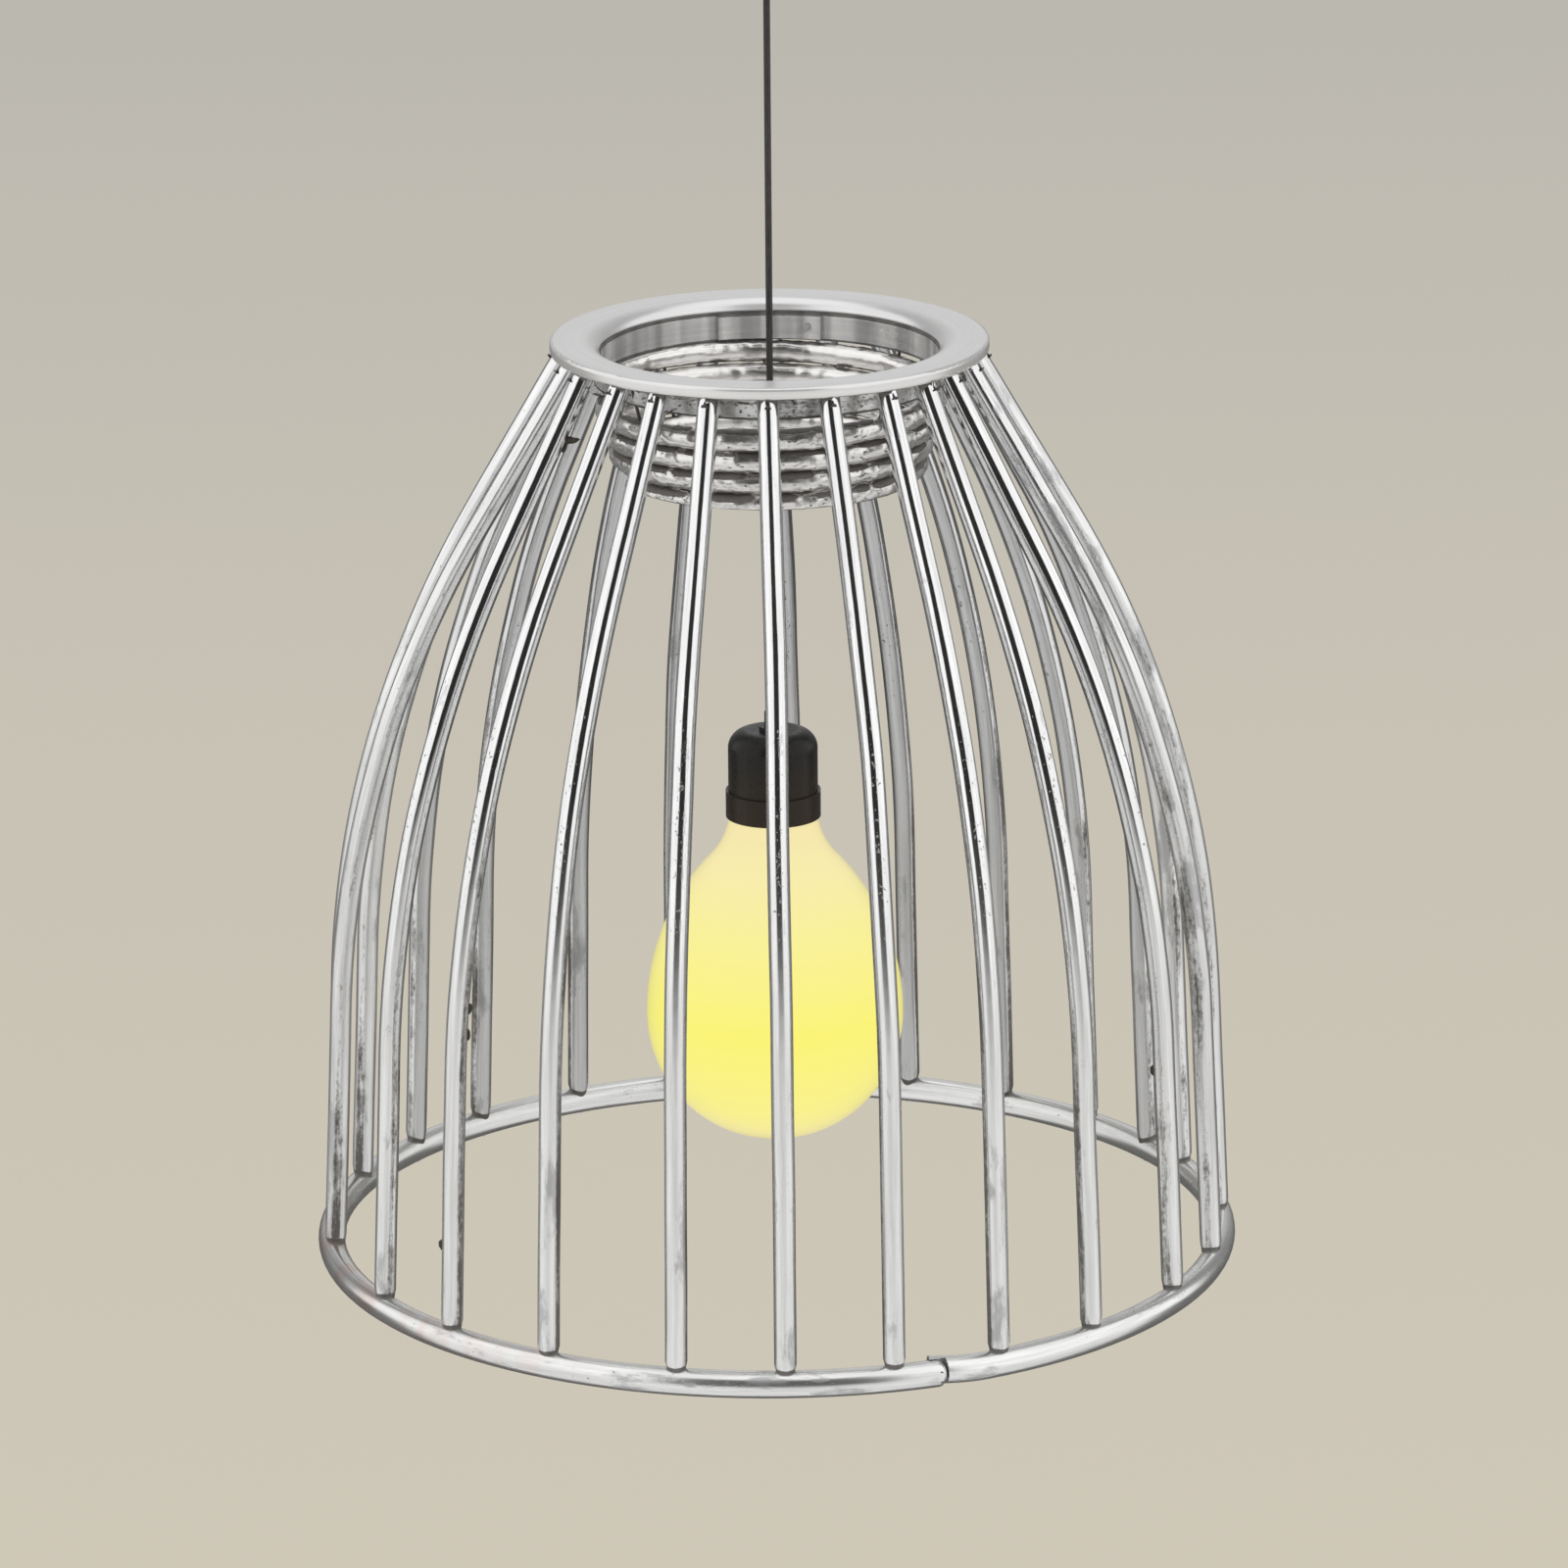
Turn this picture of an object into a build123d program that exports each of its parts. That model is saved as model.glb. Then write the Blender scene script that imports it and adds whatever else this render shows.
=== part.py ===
# Pendant lamp with an open cage shade of bent canes, hung by its cord from a ceiling cup.
# The origin is the middle of the cup's top face, against the ceiling, and +Z points up.
# An angle of 0 degrees is at the front, towards -Y, and angles grow towards +X.
# All lengths are in millimetres.
from build123d import *
import os
from math import cos, degrees, hypot, radians, sin, sqrt

# Clearances
SLIP = 0.1  # round a piece that slides or screws into another
SEAT = 0.05  # under a curved seat, so that it rests without cutting in

# Ceiling cup
CUP_R = 50
CUP_H = 25
CUP_WALL = 1.5
CUP_EDGE_R = 8
STRAP_W = 20
STRAP_T = 1.5
STRAP_LEG = 14
STRAP_BEND_R = 2
CEILING_HOLE_SPACING = 60
CEILING_HOLE_D = 4.5
CUP_SCREW_D = 3
CUP_SCREW_L = 6
CUP_SCREW_DROP = 9
BLOCK_L = 18
BLOCK_W = 14
BLOCK_H = 9

# Cord and its grips
CORD_D = 3.2
FREE_CORD = 180  # from the bottom of the cup to the plane of the top ring
GLAND_D = 8
GLAND_FLANGE_D = 13
GLAND_FLANGE_T = 2
GLAND_H = 10
CLAMP_SCREW_D = 2
CLAMP_HEAD_D = 3.6

# Top ring, turned from wood
TOP_RING_OUT_R = 104.6
TOP_RING_W = 23.5
TOP_RING_T = 6
TOP_RING_ROLL_W = 8.9  # the inner part of the top face, which rolls down to the hole
TOP_RING_ROLL = 5  # how far it has come down there
TOP_RING_EDGE_R = 1.8

# Neck band, a bent strip lapped at the back
BAND_REVEAL = 0.7  # how far its inside stands proud of the ring's hole
BAND_T = 3.4
BAND_H = 14
BAND_LAP_ANGLE = 37  # how much of the turn is double
BAND_LAP_T = 2.6
BAND_LAP_INSET = 1  # how much lower the inner end is, above and below
PIN_OFFSET_ANGLE = 13.5  # from the middle of the lap
PIN_D = 1.8
PIN_HEAD_D = 4
PIN_HEAD_T = 1

# Collar, one cane wound as a tapered right-handed helix
COIL_PITCH = 10.8
COIL_TAPER = 3.1  # what each turn loses in radius
COIL_TURN_GAP = 0.14
COIL_START_IN = 0.1  # how far inside the band's inner face its middle line is at the back
COIL_HALF_TURNS = 6  # whole ones after the first, which starts at the left and passes the back
COIL_END_ANGLE = -70
COLLAR_H = 46  # under the band, where the last turn is shaved level
COIL_NAIL_D = 1.6
COIL_NAIL_ANGLES = (40, 130, 220, 310)
COIL_NAIL_TURNS = 2.1  # how many turns below the first one the nails start

# Ribs, bent from cane, each at its own angles because they were spaced by hand
RIB_D = 10.5
RIB_TOP_IN = 8.3  # how far the tops stand inside the top ring's edge
RIB_KNEE_R = 206
RIB_KNEE_DROP = 195.4
RIB_BEND_R = 519
RIB_FOOT_IN = 1.1  # how far the feet stand inside the middle line of the foot ring
RIB_TOP_ANGLES = (-74, -64, -46, -32, -17, -0.5, 16.5, 34, 48, 59.5, 73, 88,
                  104, 119, 135, 150, 166, 180, 196, 212, 228, 240, 254, 268)
RIB_FOOT_ANGLES = (-81.5, -59.5, -45, -29.5, -12.5, 1, 14.5, 28.5, 43, 60.5, 75.5, 92,
                   111, 120.5, 133, 147.5, 161.5, 177.5, 194, 208, 224, 237, 252, 267)
BRAD_D = 1.4
BRAD_COVER = 1.6  # wood left over a brad's point, under the ring's face
BRAD_HEAD_D = 3
BRAD_HEAD_T = 0.6
BRAD_DROP = 7  # down the rib to where its brad goes in
BRAD_LEAN = 48  # degrees from upright

# Foot ring, a thicker cane whose right end rises behind its left end
FOOT_RING_R = 218.5
FOOT_ROD_D = 13
SHADE_H = 454.5
LAP_END_ANGLE = 20.9  # where the left end stops
LAP_BEND_ANGLE = 26.5  # where the right end leaves the circle
LAP_TAIL_ANGLE = 19  # where it ends, behind the other
LAP_TAIL_IN = 3.4
LAP_TAIL_UP = 1.2
LAP_GAP = 0.5
LAP_ROUNDING = 4
LAP_BRAD_D = 1.4
LAP_BRAD_L = 15
LAP_BRAD_SPACING = 4.4
FOOT_NAIL_D = 1.8
FOOT_NAIL_L = 30
FOOT_NAIL_HEAD_D = 4
FOOT_NAIL_HEAD_T = 1

# Crossbar that hangs the shade on the cord
BAR_W = 16
BAR_T = 2
BAR_DROP = 58
BAR_TAB_H = 22
BAR_BEND_R = 5
BAR_SCREW_D = 3.2
BAR_SCREW_L = 9
NIPPLE_D = 10
NIPPLE_BORE = 6.5
NIPPLE_ABOVE = 5
NIPPLE_BELOW = 10
NUT_ACROSS = 14
NUT_T = 2.5
GRIP_D = 13
GRIP_H = 16
SCREW_HEAD_T = 1.6

# Lampholder
HOLDER_DROP = 194.2
HOLDER_H = 43
HOLDER_R = 21.7
HOLDER_SHOULDER_R = 9
HOLDER_WALL = 1.8
CAP_H = 15
SPIGOT_H = 4
SPIGOT_WALL = 1.4
SKIRT_R = 23
SKIRT_WALL = 1.2
SKIRT_H = 13
INSERT_FLOOR = 2
INSERT_H = 23
SLEEVE_R = 14.5
SLEEVE_WALL = 0.5
SLEEVE_INSET = 1  # how much shorter it is than its insert
CONTACT_W = 5
CONTACT_T = 0.4
CONTACT_L = 9
CONTACT_DROP = 2.2
CONTACT_BEND_R = 1
TERMINAL_D = 3
TERMINAL_OFFSET = 11

# Bulb
GLOBE_R = 62.5
SHOULDER_R = 115
SHOULDER_ANGLE = 43.4
NECK_GAP = 0.4
NECK_IN = 3.5  # how far the straight neck reaches up inside the skirt
NECK_SLOPE = 3  # how steeply its top narrows to the base
BASE_R = 13.2
BASE_L = 17
BASE_CONE = 4
TIP_R = 4.8
TIP_H = 1

# Levels that follow from those
RING_Z = -CUP_H - FREE_CORD
UNDER_RING_Z = RING_Z - TOP_RING_T
FOOT_ROD_R = FOOT_ROD_D / 2
FOOT_RING_Z = RING_Z - SHADE_H + FOOT_ROD_R
CORD_R = CORD_D / 2
CORD_HOLE_R = CORD_R + SLIP
HOLDER_TOP_Z = RING_Z - HOLDER_DROP
HOLDER_RIM_Z = HOLDER_TOP_Z - HOLDER_H
TOP_RING_HOLE_R = TOP_RING_OUT_R - TOP_RING_W
BAND_IN_R = TOP_RING_HOLE_R - BAND_REVEAL
COIL_START_R = BAND_IN_R - COIL_START_IN
RIB_TOP_R = TOP_RING_OUT_R - RIB_TOP_IN

# How a solid sits on the point that places it
HANGING = (Align.CENTER, Align.CENTER, Align.MAX)
STANDING = (Align.CENTER, Align.CENTER, Align.MIN)


def polar(radius, angle, z):
    """A point at an angle from the front, seen from above."""
    return Vector(radius * sin(radians(angle)), -radius * cos(radians(angle)), z)


def rod(start, direction, length, radius):
    """A round bar from a point along a direction."""
    place = Plane(origin=start, z_dir=direction)
    return place * Cylinder(radius, length, align=STANDING)


def disc(z_top, height, radius):
    """A round slab about the lamp's axis, hanging from a level."""
    return Pos(0, 0, z_top) * Cylinder(radius, height, align=HANGING)


def screw(head_at, direction, length, shank_r, head_r, head_t):
    """A screw or nail whose head sits on a face, with its shank along the direction."""
    head = rod(head_at, direction * -1, head_t, head_r)
    return head + rod(head_at, direction, length, shank_r)


def slotted(fastener, head_at, direction, head_r, head_t):
    """The same screw with a slot across its head."""
    top = head_at - direction.normalized() * head_t
    slot = Plane(origin=top, z_dir=direction) * Box(3 * head_r, head_r / 4, head_t)
    return fastener - slot


def save(name, *solids):
    """Write one named piece, or a group of like pieces."""
    shape = solids[0] if len(solids) == 1 else Compound(children=list(solids))
    export_step(shape, f"parts/{name}.step")


os.makedirs("parts", exist_ok=True)

# Ceiling cup, with its rim against the ceiling and a hole for the cord's gland
cup = disc(0, CUP_H, CUP_R)
cup = fillet(cup.edges().group_by(Axis.Z)[0], CUP_EDGE_R)
cup_room = disc(0, CUP_H - CUP_WALL, CUP_R - CUP_WALL)
cup_room = fillet(cup_room.edges().group_by(Axis.Z)[0], CUP_EDGE_R - CUP_WALL)
cup -= cup_room
cup -= disc(0, CUP_H, GLAND_D / 2 + SLIP)

# Strap that is screwed to the ceiling, its ends bent down inside the cup
strap_end = sqrt((CUP_R - CUP_WALL - SLIP) ** 2 - (STRAP_W / 2) ** 2) - STRAP_T / 2
strap_path = FilletPolyline(
    (-strap_end, 0, -STRAP_LEG),
    (-strap_end, 0, -STRAP_T / 2),
    (strap_end, 0, -STRAP_T / 2),
    (strap_end, 0, -STRAP_LEG),
    radius=STRAP_BEND_R,
)
strap_start = Plane(origin=strap_path @ 0, x_dir=(1, 0, 0), z_dir=strap_path % 0)
strap = sweep(strap_start * Rectangle(STRAP_T, STRAP_W), path=strap_path)
for side in (-1, 1):
    strap -= Pos(side * CEILING_HOLE_SPACING / 2, 0, 0) * Cylinder(CEILING_HOLE_D / 2, 4 * STRAP_T)
    inside_cup = Vector(side * CUP_R / 2, 0, -CUP_SCREW_DROP)
    cup_screw_hole = rod(inside_cup, Vector(side, 0, 0), CUP_R, CUP_SCREW_D / 2)
    strap -= cup_screw_hole
    cup -= cup_screw_hole
save("ceiling_cup", cup)
save("cup_bracket", strap)

cup_screws = []
for side in (-1, 1):
    head_at = Vector(side * (CUP_R + SEAT), 0, -CUP_SCREW_DROP)
    inward = Vector(-side, 0, 0)
    bolt = screw(head_at, inward, CUP_SCREW_L, CUP_SCREW_D / 2 - SLIP, CUP_SCREW_D, SCREW_HEAD_T)
    cup_screws.append(slotted(bolt, head_at, inward, CUP_SCREW_D, SCREW_HEAD_T))
save("cup_screws", *cup_screws)

# Terminal block under the strap, where the cord's wires end
block_top = -STRAP_T
block = Pos(0, 0, block_top) * Box(BLOCK_L, BLOCK_W, BLOCK_H, align=HANGING)
save("terminal_block", block)


def gland(flange_z, up):
    """A cord gland whose flange sits on a wall: up is 1 if it stands above it, else -1."""
    axis = Vector(0, 0, up)
    body = rod(Vector(0, 0, flange_z), axis, GLAND_FLANGE_T, GLAND_FLANGE_D / 2)
    tower = rod(Vector(0, 0, flange_z), axis, GLAND_H, GLAND_D / 2)
    tower = chamfer(tower.edges().group_by(Axis.Z)[-1 if up > 0 else 0], GLAND_D / 8)
    body += tower
    body += rod(Vector(0, 0, flange_z), axis * -1, 2 * HOLDER_WALL, GLAND_D / 2)
    body -= Pos(0, 0, flange_z) * Cylinder(CORD_HOLE_R, 4 * GLAND_H)
    clamp_z = flange_z + up * (GLAND_FLANGE_T + GLAND_H) / 2
    body -= rod(Vector(0, 0, clamp_z), Vector(0, 1, 0), GLAND_D, CLAMP_SCREW_D / 2 + SLIP)
    return body


def clamp_screw(z, body_r):
    """A clamping screw from behind, its tip against the cord and its head clear of the body."""
    head_at = Vector(0, body_r + SEAT, z)
    inward = Vector(0, -1, 0)
    length = body_r - CORD_R
    bolt = screw(head_at, inward, length, CLAMP_SCREW_D / 2, CLAMP_HEAD_D / 2, SCREW_HEAD_T)
    return slotted(bolt, head_at, inward, CLAMP_HEAD_D / 2, SCREW_HEAD_T)


GLAND_CLAMP = (GLAND_FLANGE_T + GLAND_H) / 2
save("cup_gland", gland(-CUP_H, -1))
save("cup_gland_screw", clamp_screw(-CUP_H - GLAND_CLAMP, GLAND_D / 2))
save("holder_gland", gland(HOLDER_TOP_Z, 1))
save("holder_gland_screw", clamp_screw(HOLDER_TOP_Z + GLAND_CLAMP, GLAND_D / 2))

# Cord, straight and taut from the terminal block to the holder's contacts
cord_top = block_top - BLOCK_H
insert_top = HOLDER_TOP_Z - CAP_H + SPIGOT_H + INSERT_FLOOR
cord_bottom = insert_top + SLIP
cord = disc(cord_top, cord_top - cord_bottom, CORD_R)
save("cord", cord)

# Top ring: a turned section with a flat underside and a top that rolls down to the hole
under_in = TOP_RING_HOLE_R
roll_z = RING_Z - TOP_RING_ROLL
outer_top = Vector(TOP_RING_OUT_R, 0, RING_Z)
flat_end = Vector(TOP_RING_HOLE_R + TOP_RING_ROLL_W, 0, RING_Z)
ring_section = make_face(
    Curve()
    + Line((under_in, 0, UNDER_RING_Z), (TOP_RING_OUT_R, 0, UNDER_RING_Z))
    + Line((TOP_RING_OUT_R, 0, UNDER_RING_Z), outer_top)
    + Line(outer_top, flat_end)
    + TangentArc(flat_end, (under_in, 0, roll_z), tangent=(-1, 0, 0))
    + Line((under_in, 0, roll_z), (under_in, 0, UNDER_RING_Z))
)
top_ring = revolve(ring_section, Axis.Z)
round_edges = top_ring.edges().filter_by(GeomType.CIRCLE)
outer_edges = [edge for edge in round_edges if edge.radius > TOP_RING_OUT_R - SLIP]
top_ring = fillet(outer_edges, TOP_RING_EDGE_R)
save("top_ring", top_ring)

# Neck band under the ring's inside edge, its inner end lapping the outer one at the back
band_out = BAND_IN_R + BAND_T
band = disc(UNDER_RING_Z, BAND_H, band_out) - disc(UNDER_RING_Z, BAND_H, BAND_IN_R)
lap_in = BAND_IN_R - BAND_LAP_T
lap_section = Plane.XZ * Pos((lap_in + BAND_IN_R) / 2, UNDER_RING_Z - BAND_H / 2) * Rectangle(
    BAND_LAP_T, BAND_H - 2 * BAND_LAP_INSET
)
lap = Rot(0, 0, 90 - BAND_LAP_ANGLE / 2) * revolve(lap_section, Axis.Z, BAND_LAP_ANGLE)
band += lap
save("neck_band", band)

pin_angle = 180 - PIN_OFFSET_ANGLE
pin_z = UNDER_RING_Z - BAND_H / 2
pin_at = polar(lap_in - SEAT, pin_angle, pin_z)
pin_out = polar(1, pin_angle, 0)
lap_pin = screw(pin_at, pin_out, BAND_T + BAND_LAP_T, PIN_D / 2, PIN_HEAD_D / 2, PIN_HEAD_T)
save("lap_pin", lap_pin)

# Collar: half turns that meet at the right and the left, where the cane runs straight back.
# Its first end is shaved flat under the band, and its last turn level at the bottom.
coil_r = (hypot(COIL_PITCH, COIL_TAPER) - COIL_TURN_GAP) / 2
coil_start_z = UNDER_RING_Z - BAND_H - SLIP - coil_r


def coil_radius(quarters):
    """Radius of the cane's middle line some quarter turns past the back."""
    return COIL_START_R - COIL_TAPER * quarters / 4


def coil_side(half_turns):
    """Where the cane's middle line crosses the right side (even) or the left side (odd)."""
    quarters = 1 + 2 * half_turns
    side = 1 if half_turns % 2 == 0 else -1
    return Vector(side * coil_radius(quarters), 0, coil_start_z - COIL_PITCH * quarters / 4)


coil_path = []
for half in range(-1, COIL_HALF_TURNS):
    from_side = coil_side(half)
    to_side = coil_side(half + 1)
    middle = (from_side + to_side) / 2
    bulge = (from_side - to_side).length / 2
    front = -1 if half % 2 == 0 else 1
    coil_path.append(ThreePointArc(from_side, middle + Vector(0, front * bulge, 0), to_side))
last_side = coil_side(COIL_HALF_TURNS)
end_share = (1 - sin(radians(COIL_END_ANGLE))) / 2
end_quarters = (90 - COIL_END_ANGLE) / 90
coil_end = polar(
    coil_radius(1 + 2 * COIL_HALF_TURNS + end_quarters),
    COIL_END_ANGLE,
    last_side.Z - end_share * COIL_PITCH / 2,
)
coil_path.append(TangentArc(last_side, coil_end, tangent=(0, -1, 0)))
coil_wire = Wire([edge for arc in coil_path for edge in arc.edges()])
coil_plane = Plane(origin=coil_wire @ 0, z_dir=coil_wire % 0)
collar = sweep(coil_plane * Circle(coil_r), path=coil_wire)
collar -= disc(UNDER_RING_Z, BAND_H + SLIP, TOP_RING_OUT_R)
collar -= disc(UNDER_RING_Z - BAND_H - COLLAR_H, 2 * COIL_PITCH, TOP_RING_OUT_R)
print("collar cane's length", round(coil_wire.length))
save("collar_coil", collar)

# Nails up through the turns of the collar, along its taper, into the band
coil_nails = []
nail_top_z = UNDER_RING_Z - BAND_H / 2
turn_down = Vector(0, 0, -COIL_PITCH)
for angle in COIL_NAIL_ANGLES:
    nail_quarters = (180 - angle) % 360 / 90
    nail_r = coil_radius(nail_quarters)
    nail_z = coil_start_z - COIL_PITCH * nail_quarters / 4
    nail_dir = polar(-COIL_TAPER, angle, 0) + turn_down
    low = polar(nail_r, angle, nail_z) + nail_dir * COIL_NAIL_TURNS
    up = nail_dir * -1
    length = (nail_top_z - low.Z) / up.normalized().Z
    coil_nails.append(rod(low, up, length, COIL_NAIL_D / 2))
save("collar_nails", *coil_nails)

# Foot ring: a cane bent to a circle, with a gap that its lifted right end fills
foot_section = Plane.XZ * Pos(FOOT_RING_R, FOOT_RING_Z) * Circle(FOOT_ROD_R)
foot_span = 360 - LAP_BEND_ANGLE + LAP_END_ANGLE
foot_ring = Rot(0, 0, LAP_BEND_ANGLE - 90) * revolve(foot_section, Axis.Z, foot_span)
left_end_at = polar(FOOT_RING_R, LAP_END_ANGLE, FOOT_RING_Z)
left_end = foot_ring.faces().filter_by(GeomType.PLANE).sort_by_distance(left_end_at)[0]
foot_ring = fillet(left_end.edges(), LAP_ROUNDING)

bend_at = polar(FOOT_RING_R, LAP_BEND_ANGLE, FOOT_RING_Z)
tail_at = polar(FOOT_RING_R - LAP_TAIL_IN, LAP_TAIL_ANGLE, FOOT_RING_Z + LAP_TAIL_UP)
tail_path = TangentArc(bend_at, tail_at, tangent=polar(1, LAP_BEND_ANGLE - 90, 0))
tail_plane = Plane(origin=tail_path @ 0, z_dir=tail_path % 0)
tail = sweep(tail_plane * Circle(FOOT_ROD_R), path=tail_path)
room_section = Plane.XZ * Pos(FOOT_RING_R, FOOT_RING_Z) * Circle(FOOT_ROD_R + LAP_GAP)
room_start = LAP_TAIL_ANGLE - (LAP_BEND_ANGLE - LAP_END_ANGLE)
room_span = LAP_END_ANGLE - room_start + degrees(LAP_GAP / FOOT_RING_R)
tail -= Rot(0, 0, room_start - 90) * revolve(room_section, Axis.Z, room_span)
foot_ring += tail
save("foot_ring", foot_ring)

lap_brads = []
brad_angle = (LAP_END_ANGLE + LAP_TAIL_ANGLE) / 2
for offset in (-LAP_BRAD_SPACING / 2, LAP_BRAD_SPACING / 2):
    reach = sqrt(FOOT_ROD_R**2 - offset**2)
    outside = polar(FOOT_RING_R + reach - SEAT, brad_angle, FOOT_RING_Z + offset)
    lap_brads.append(rod(outside, polar(-1, brad_angle, 0), LAP_BRAD_L, LAP_BRAD_D / 2))
save("lap_brads", *lap_brads)

# Ribs: each runs straight from the ring, bends at its knee and comes down to the foot ring
foot_r = FOOT_RING_R - RIB_FOOT_IN
foot_top_z = FOOT_RING_Z + FOOT_ROD_R
knee_share = (RIB_KNEE_R - RIB_TOP_R) / (foot_r - RIB_TOP_R)
above_ring = Pos(0, 0, UNDER_RING_Z) * Cylinder(TOP_RING_OUT_R, 4 * RIB_D, align=STANDING)
foot_saddle = Pos(0, 0, FOOT_RING_Z) * Torus(FOOT_RING_R, FOOT_ROD_R + SEAT)


def rib_points(top_angle, foot_angle):
    """The top, knee and foot of a rib's middle line."""
    top = polar(RIB_TOP_R, top_angle, UNDER_RING_Z)
    foot = polar(foot_r, foot_angle, foot_top_z)
    knee = top + (foot - top) * knee_share
    return top, Vector(knee.X, knee.Y, RING_Z - RIB_KNEE_DROP), foot


def make_rib(top_angle, foot_angle):
    """A bent cane, cut flat under the top ring and coped over the foot ring."""
    top, knee, foot = rib_points(top_angle, foot_angle)
    long_top = top + (top - knee).normalized() * RIB_D
    long_foot = foot + (foot - knee).normalized() * FOOT_ROD_R
    path = FilletPolyline(long_top, knee, long_foot, radius=RIB_BEND_R)
    start = Plane(origin=path @ 0, z_dir=path % 0)
    cane = sweep(start * Circle(RIB_D / 2), path=path)
    return cane - above_ring - foot_saddle


rib_brads = []
foot_nails = []
rib_angles = list(zip(RIB_TOP_ANGLES, RIB_FOOT_ANGLES))
for number, (top_angle, foot_angle) in enumerate(rib_angles, start=1):
    save(f"rib_{number:02d}", make_rib(top_angle, foot_angle))

    top, knee, foot = rib_points(top_angle, foot_angle)
    down = (knee - top).normalized()
    outward = polar(1, top_angle, 0)
    face = (outward - down * outward.dot(down)).normalized()
    head_at = top + down * BRAD_DROP + face * (RIB_D / 2 + SEAT)
    brad_dir = polar(-sin(radians(BRAD_LEAN)), top_angle, cos(radians(BRAD_LEAN)))
    brad_l = (RING_Z - BRAD_COVER - head_at.Z) / cos(radians(BRAD_LEAN))
    rib_brads.append(screw(head_at, brad_dir, brad_l, BRAD_D / 2, BRAD_HEAD_D / 2, BRAD_HEAD_T))

    up = (knee - foot).normalized()
    sole = foot - up * (FOOT_ROD_D - FOOT_NAIL_HEAD_T - SEAT)
    foot_nails.append(
        screw(sole, up, FOOT_NAIL_L, FOOT_NAIL_D / 2, FOOT_NAIL_HEAD_D / 2, FOOT_NAIL_HEAD_T)
    )
save("rib_top_brads", *rib_brads)
save("foot_nails", *foot_nails)

# Crossbar: flat steel across the collar, its tabs leaning back against the turns
bar_z = RING_Z - BAR_DROP


def inside_collar(z):
    """How far out a tab's middle line stands at a level, with the tab's corners at the turns."""
    turns_down = (coil_start_z - z) / COIL_PITCH
    lean = hypot(COIL_PITCH, COIL_TAPER) / COIL_PITCH
    turns_in = COIL_START_R - COIL_TAPER * turns_down - coil_r * lean - SLIP
    return sqrt(turns_in**2 - (BAR_W / 2) ** 2) - BAR_T / 2 * lean


tab_top = bar_z + BAR_TAB_H
bar_points = [
    (-inside_collar(tab_top), 0, tab_top),
    (-inside_collar(bar_z), 0, bar_z),
    (inside_collar(bar_z), 0, bar_z),
    (inside_collar(tab_top), 0, tab_top),
]
bar_path = FilletPolyline(*bar_points, radius=BAR_BEND_R)
bar_start = Plane(origin=bar_path @ 0, x_dir=(0, 1, 0), z_dir=bar_path % 0)
bar = sweep(bar_start * Rectangle(BAR_W, BAR_T), path=bar_path)
bar -= Pos(0, 0, bar_z) * Cylinder(NIPPLE_D / 2 + SLIP, 4 * BAR_T)

bar_screws = []
for side in (-1, 1):
    level = coil_side(4).Z if side > 0 else coil_side(3).Z
    outward = Vector(side * COIL_PITCH, 0, -COIL_TAPER).normalized()
    middle = Vector(side * inside_collar(level), 0, level)
    bar -= rod(middle - outward * BAR_T, outward, 2 * BAR_T, BAR_SCREW_D / 2 + SLIP)
    head_at = middle - outward * (BAR_T / 2 + SEAT)
    bolt = screw(head_at, outward, BAR_SCREW_L, BAR_SCREW_D / 2, BAR_SCREW_D, SCREW_HEAD_T)
    bar_screws.append(slotted(bolt, head_at, outward, BAR_SCREW_D, SCREW_HEAD_T))
save("crossbar", bar)
save("crossbar_screws", *bar_screws)

# Threaded tube through the bar with a nut each side, and the cord grip under it
nipple_top = bar_z + BAR_T / 2 + NIPPLE_ABOVE
nipple_l = NIPPLE_ABOVE + BAR_T + NIPPLE_BELOW
nipple = disc(nipple_top, nipple_l, NIPPLE_D / 2) - disc(nipple_top, nipple_l, NIPPLE_BORE / 2)
save("bar_nipple", nipple)

nuts = []
for nut_top in (bar_z + BAR_T / 2 + NUT_T, bar_z - BAR_T / 2):
    outline = RegularPolygon(NUT_ACROSS / 2, 6, major_radius=False) - Circle(NIPPLE_D / 2 + SLIP)
    nuts.append(Pos(0, 0, nut_top - NUT_T) * extrude(outline, NUT_T))
save("nipple_nuts", *nuts)

grip_top = bar_z - BAR_T / 2 - NUT_T
socket_depth = NIPPLE_BELOW - NUT_T
grip = disc(grip_top, GRIP_H, GRIP_D / 2)
grip = chamfer(grip.edges().group_by(Axis.Z)[0], GRIP_D / 8)
grip -= disc(grip_top, socket_depth + SLIP, NIPPLE_D / 2 + SLIP)
grip -= disc(grip_top, GRIP_H, CORD_HOLE_R)
grip_clamp_z = grip_top - (socket_depth + GRIP_H) / 2
grip -= rod(Vector(0, 0, grip_clamp_z), Vector(0, 1, 0), GRIP_D, CLAMP_SCREW_D / 2 + SLIP)
save("cord_grip", grip)
save("cord_grip_screw", clamp_screw(grip_clamp_z, GRIP_D / 2))

# Lampholder cap, domed, with the gland in its top
cap = disc(HOLDER_TOP_Z, CAP_H, HOLDER_R)
cap = fillet(cap.edges().group_by(Axis.Z)[-1], HOLDER_SHOULDER_R)
cap_room = disc(HOLDER_TOP_Z - HOLDER_WALL, CAP_H - HOLDER_WALL, HOLDER_R - HOLDER_WALL)
cap_room = fillet(cap_room.edges().group_by(Axis.Z)[-1], HOLDER_SHOULDER_R - HOLDER_WALL)
cap -= cap_room
cap -= disc(HOLDER_TOP_Z, CAP_H, GLAND_D / 2 + SLIP)
save("holder_cap", cap)

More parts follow.
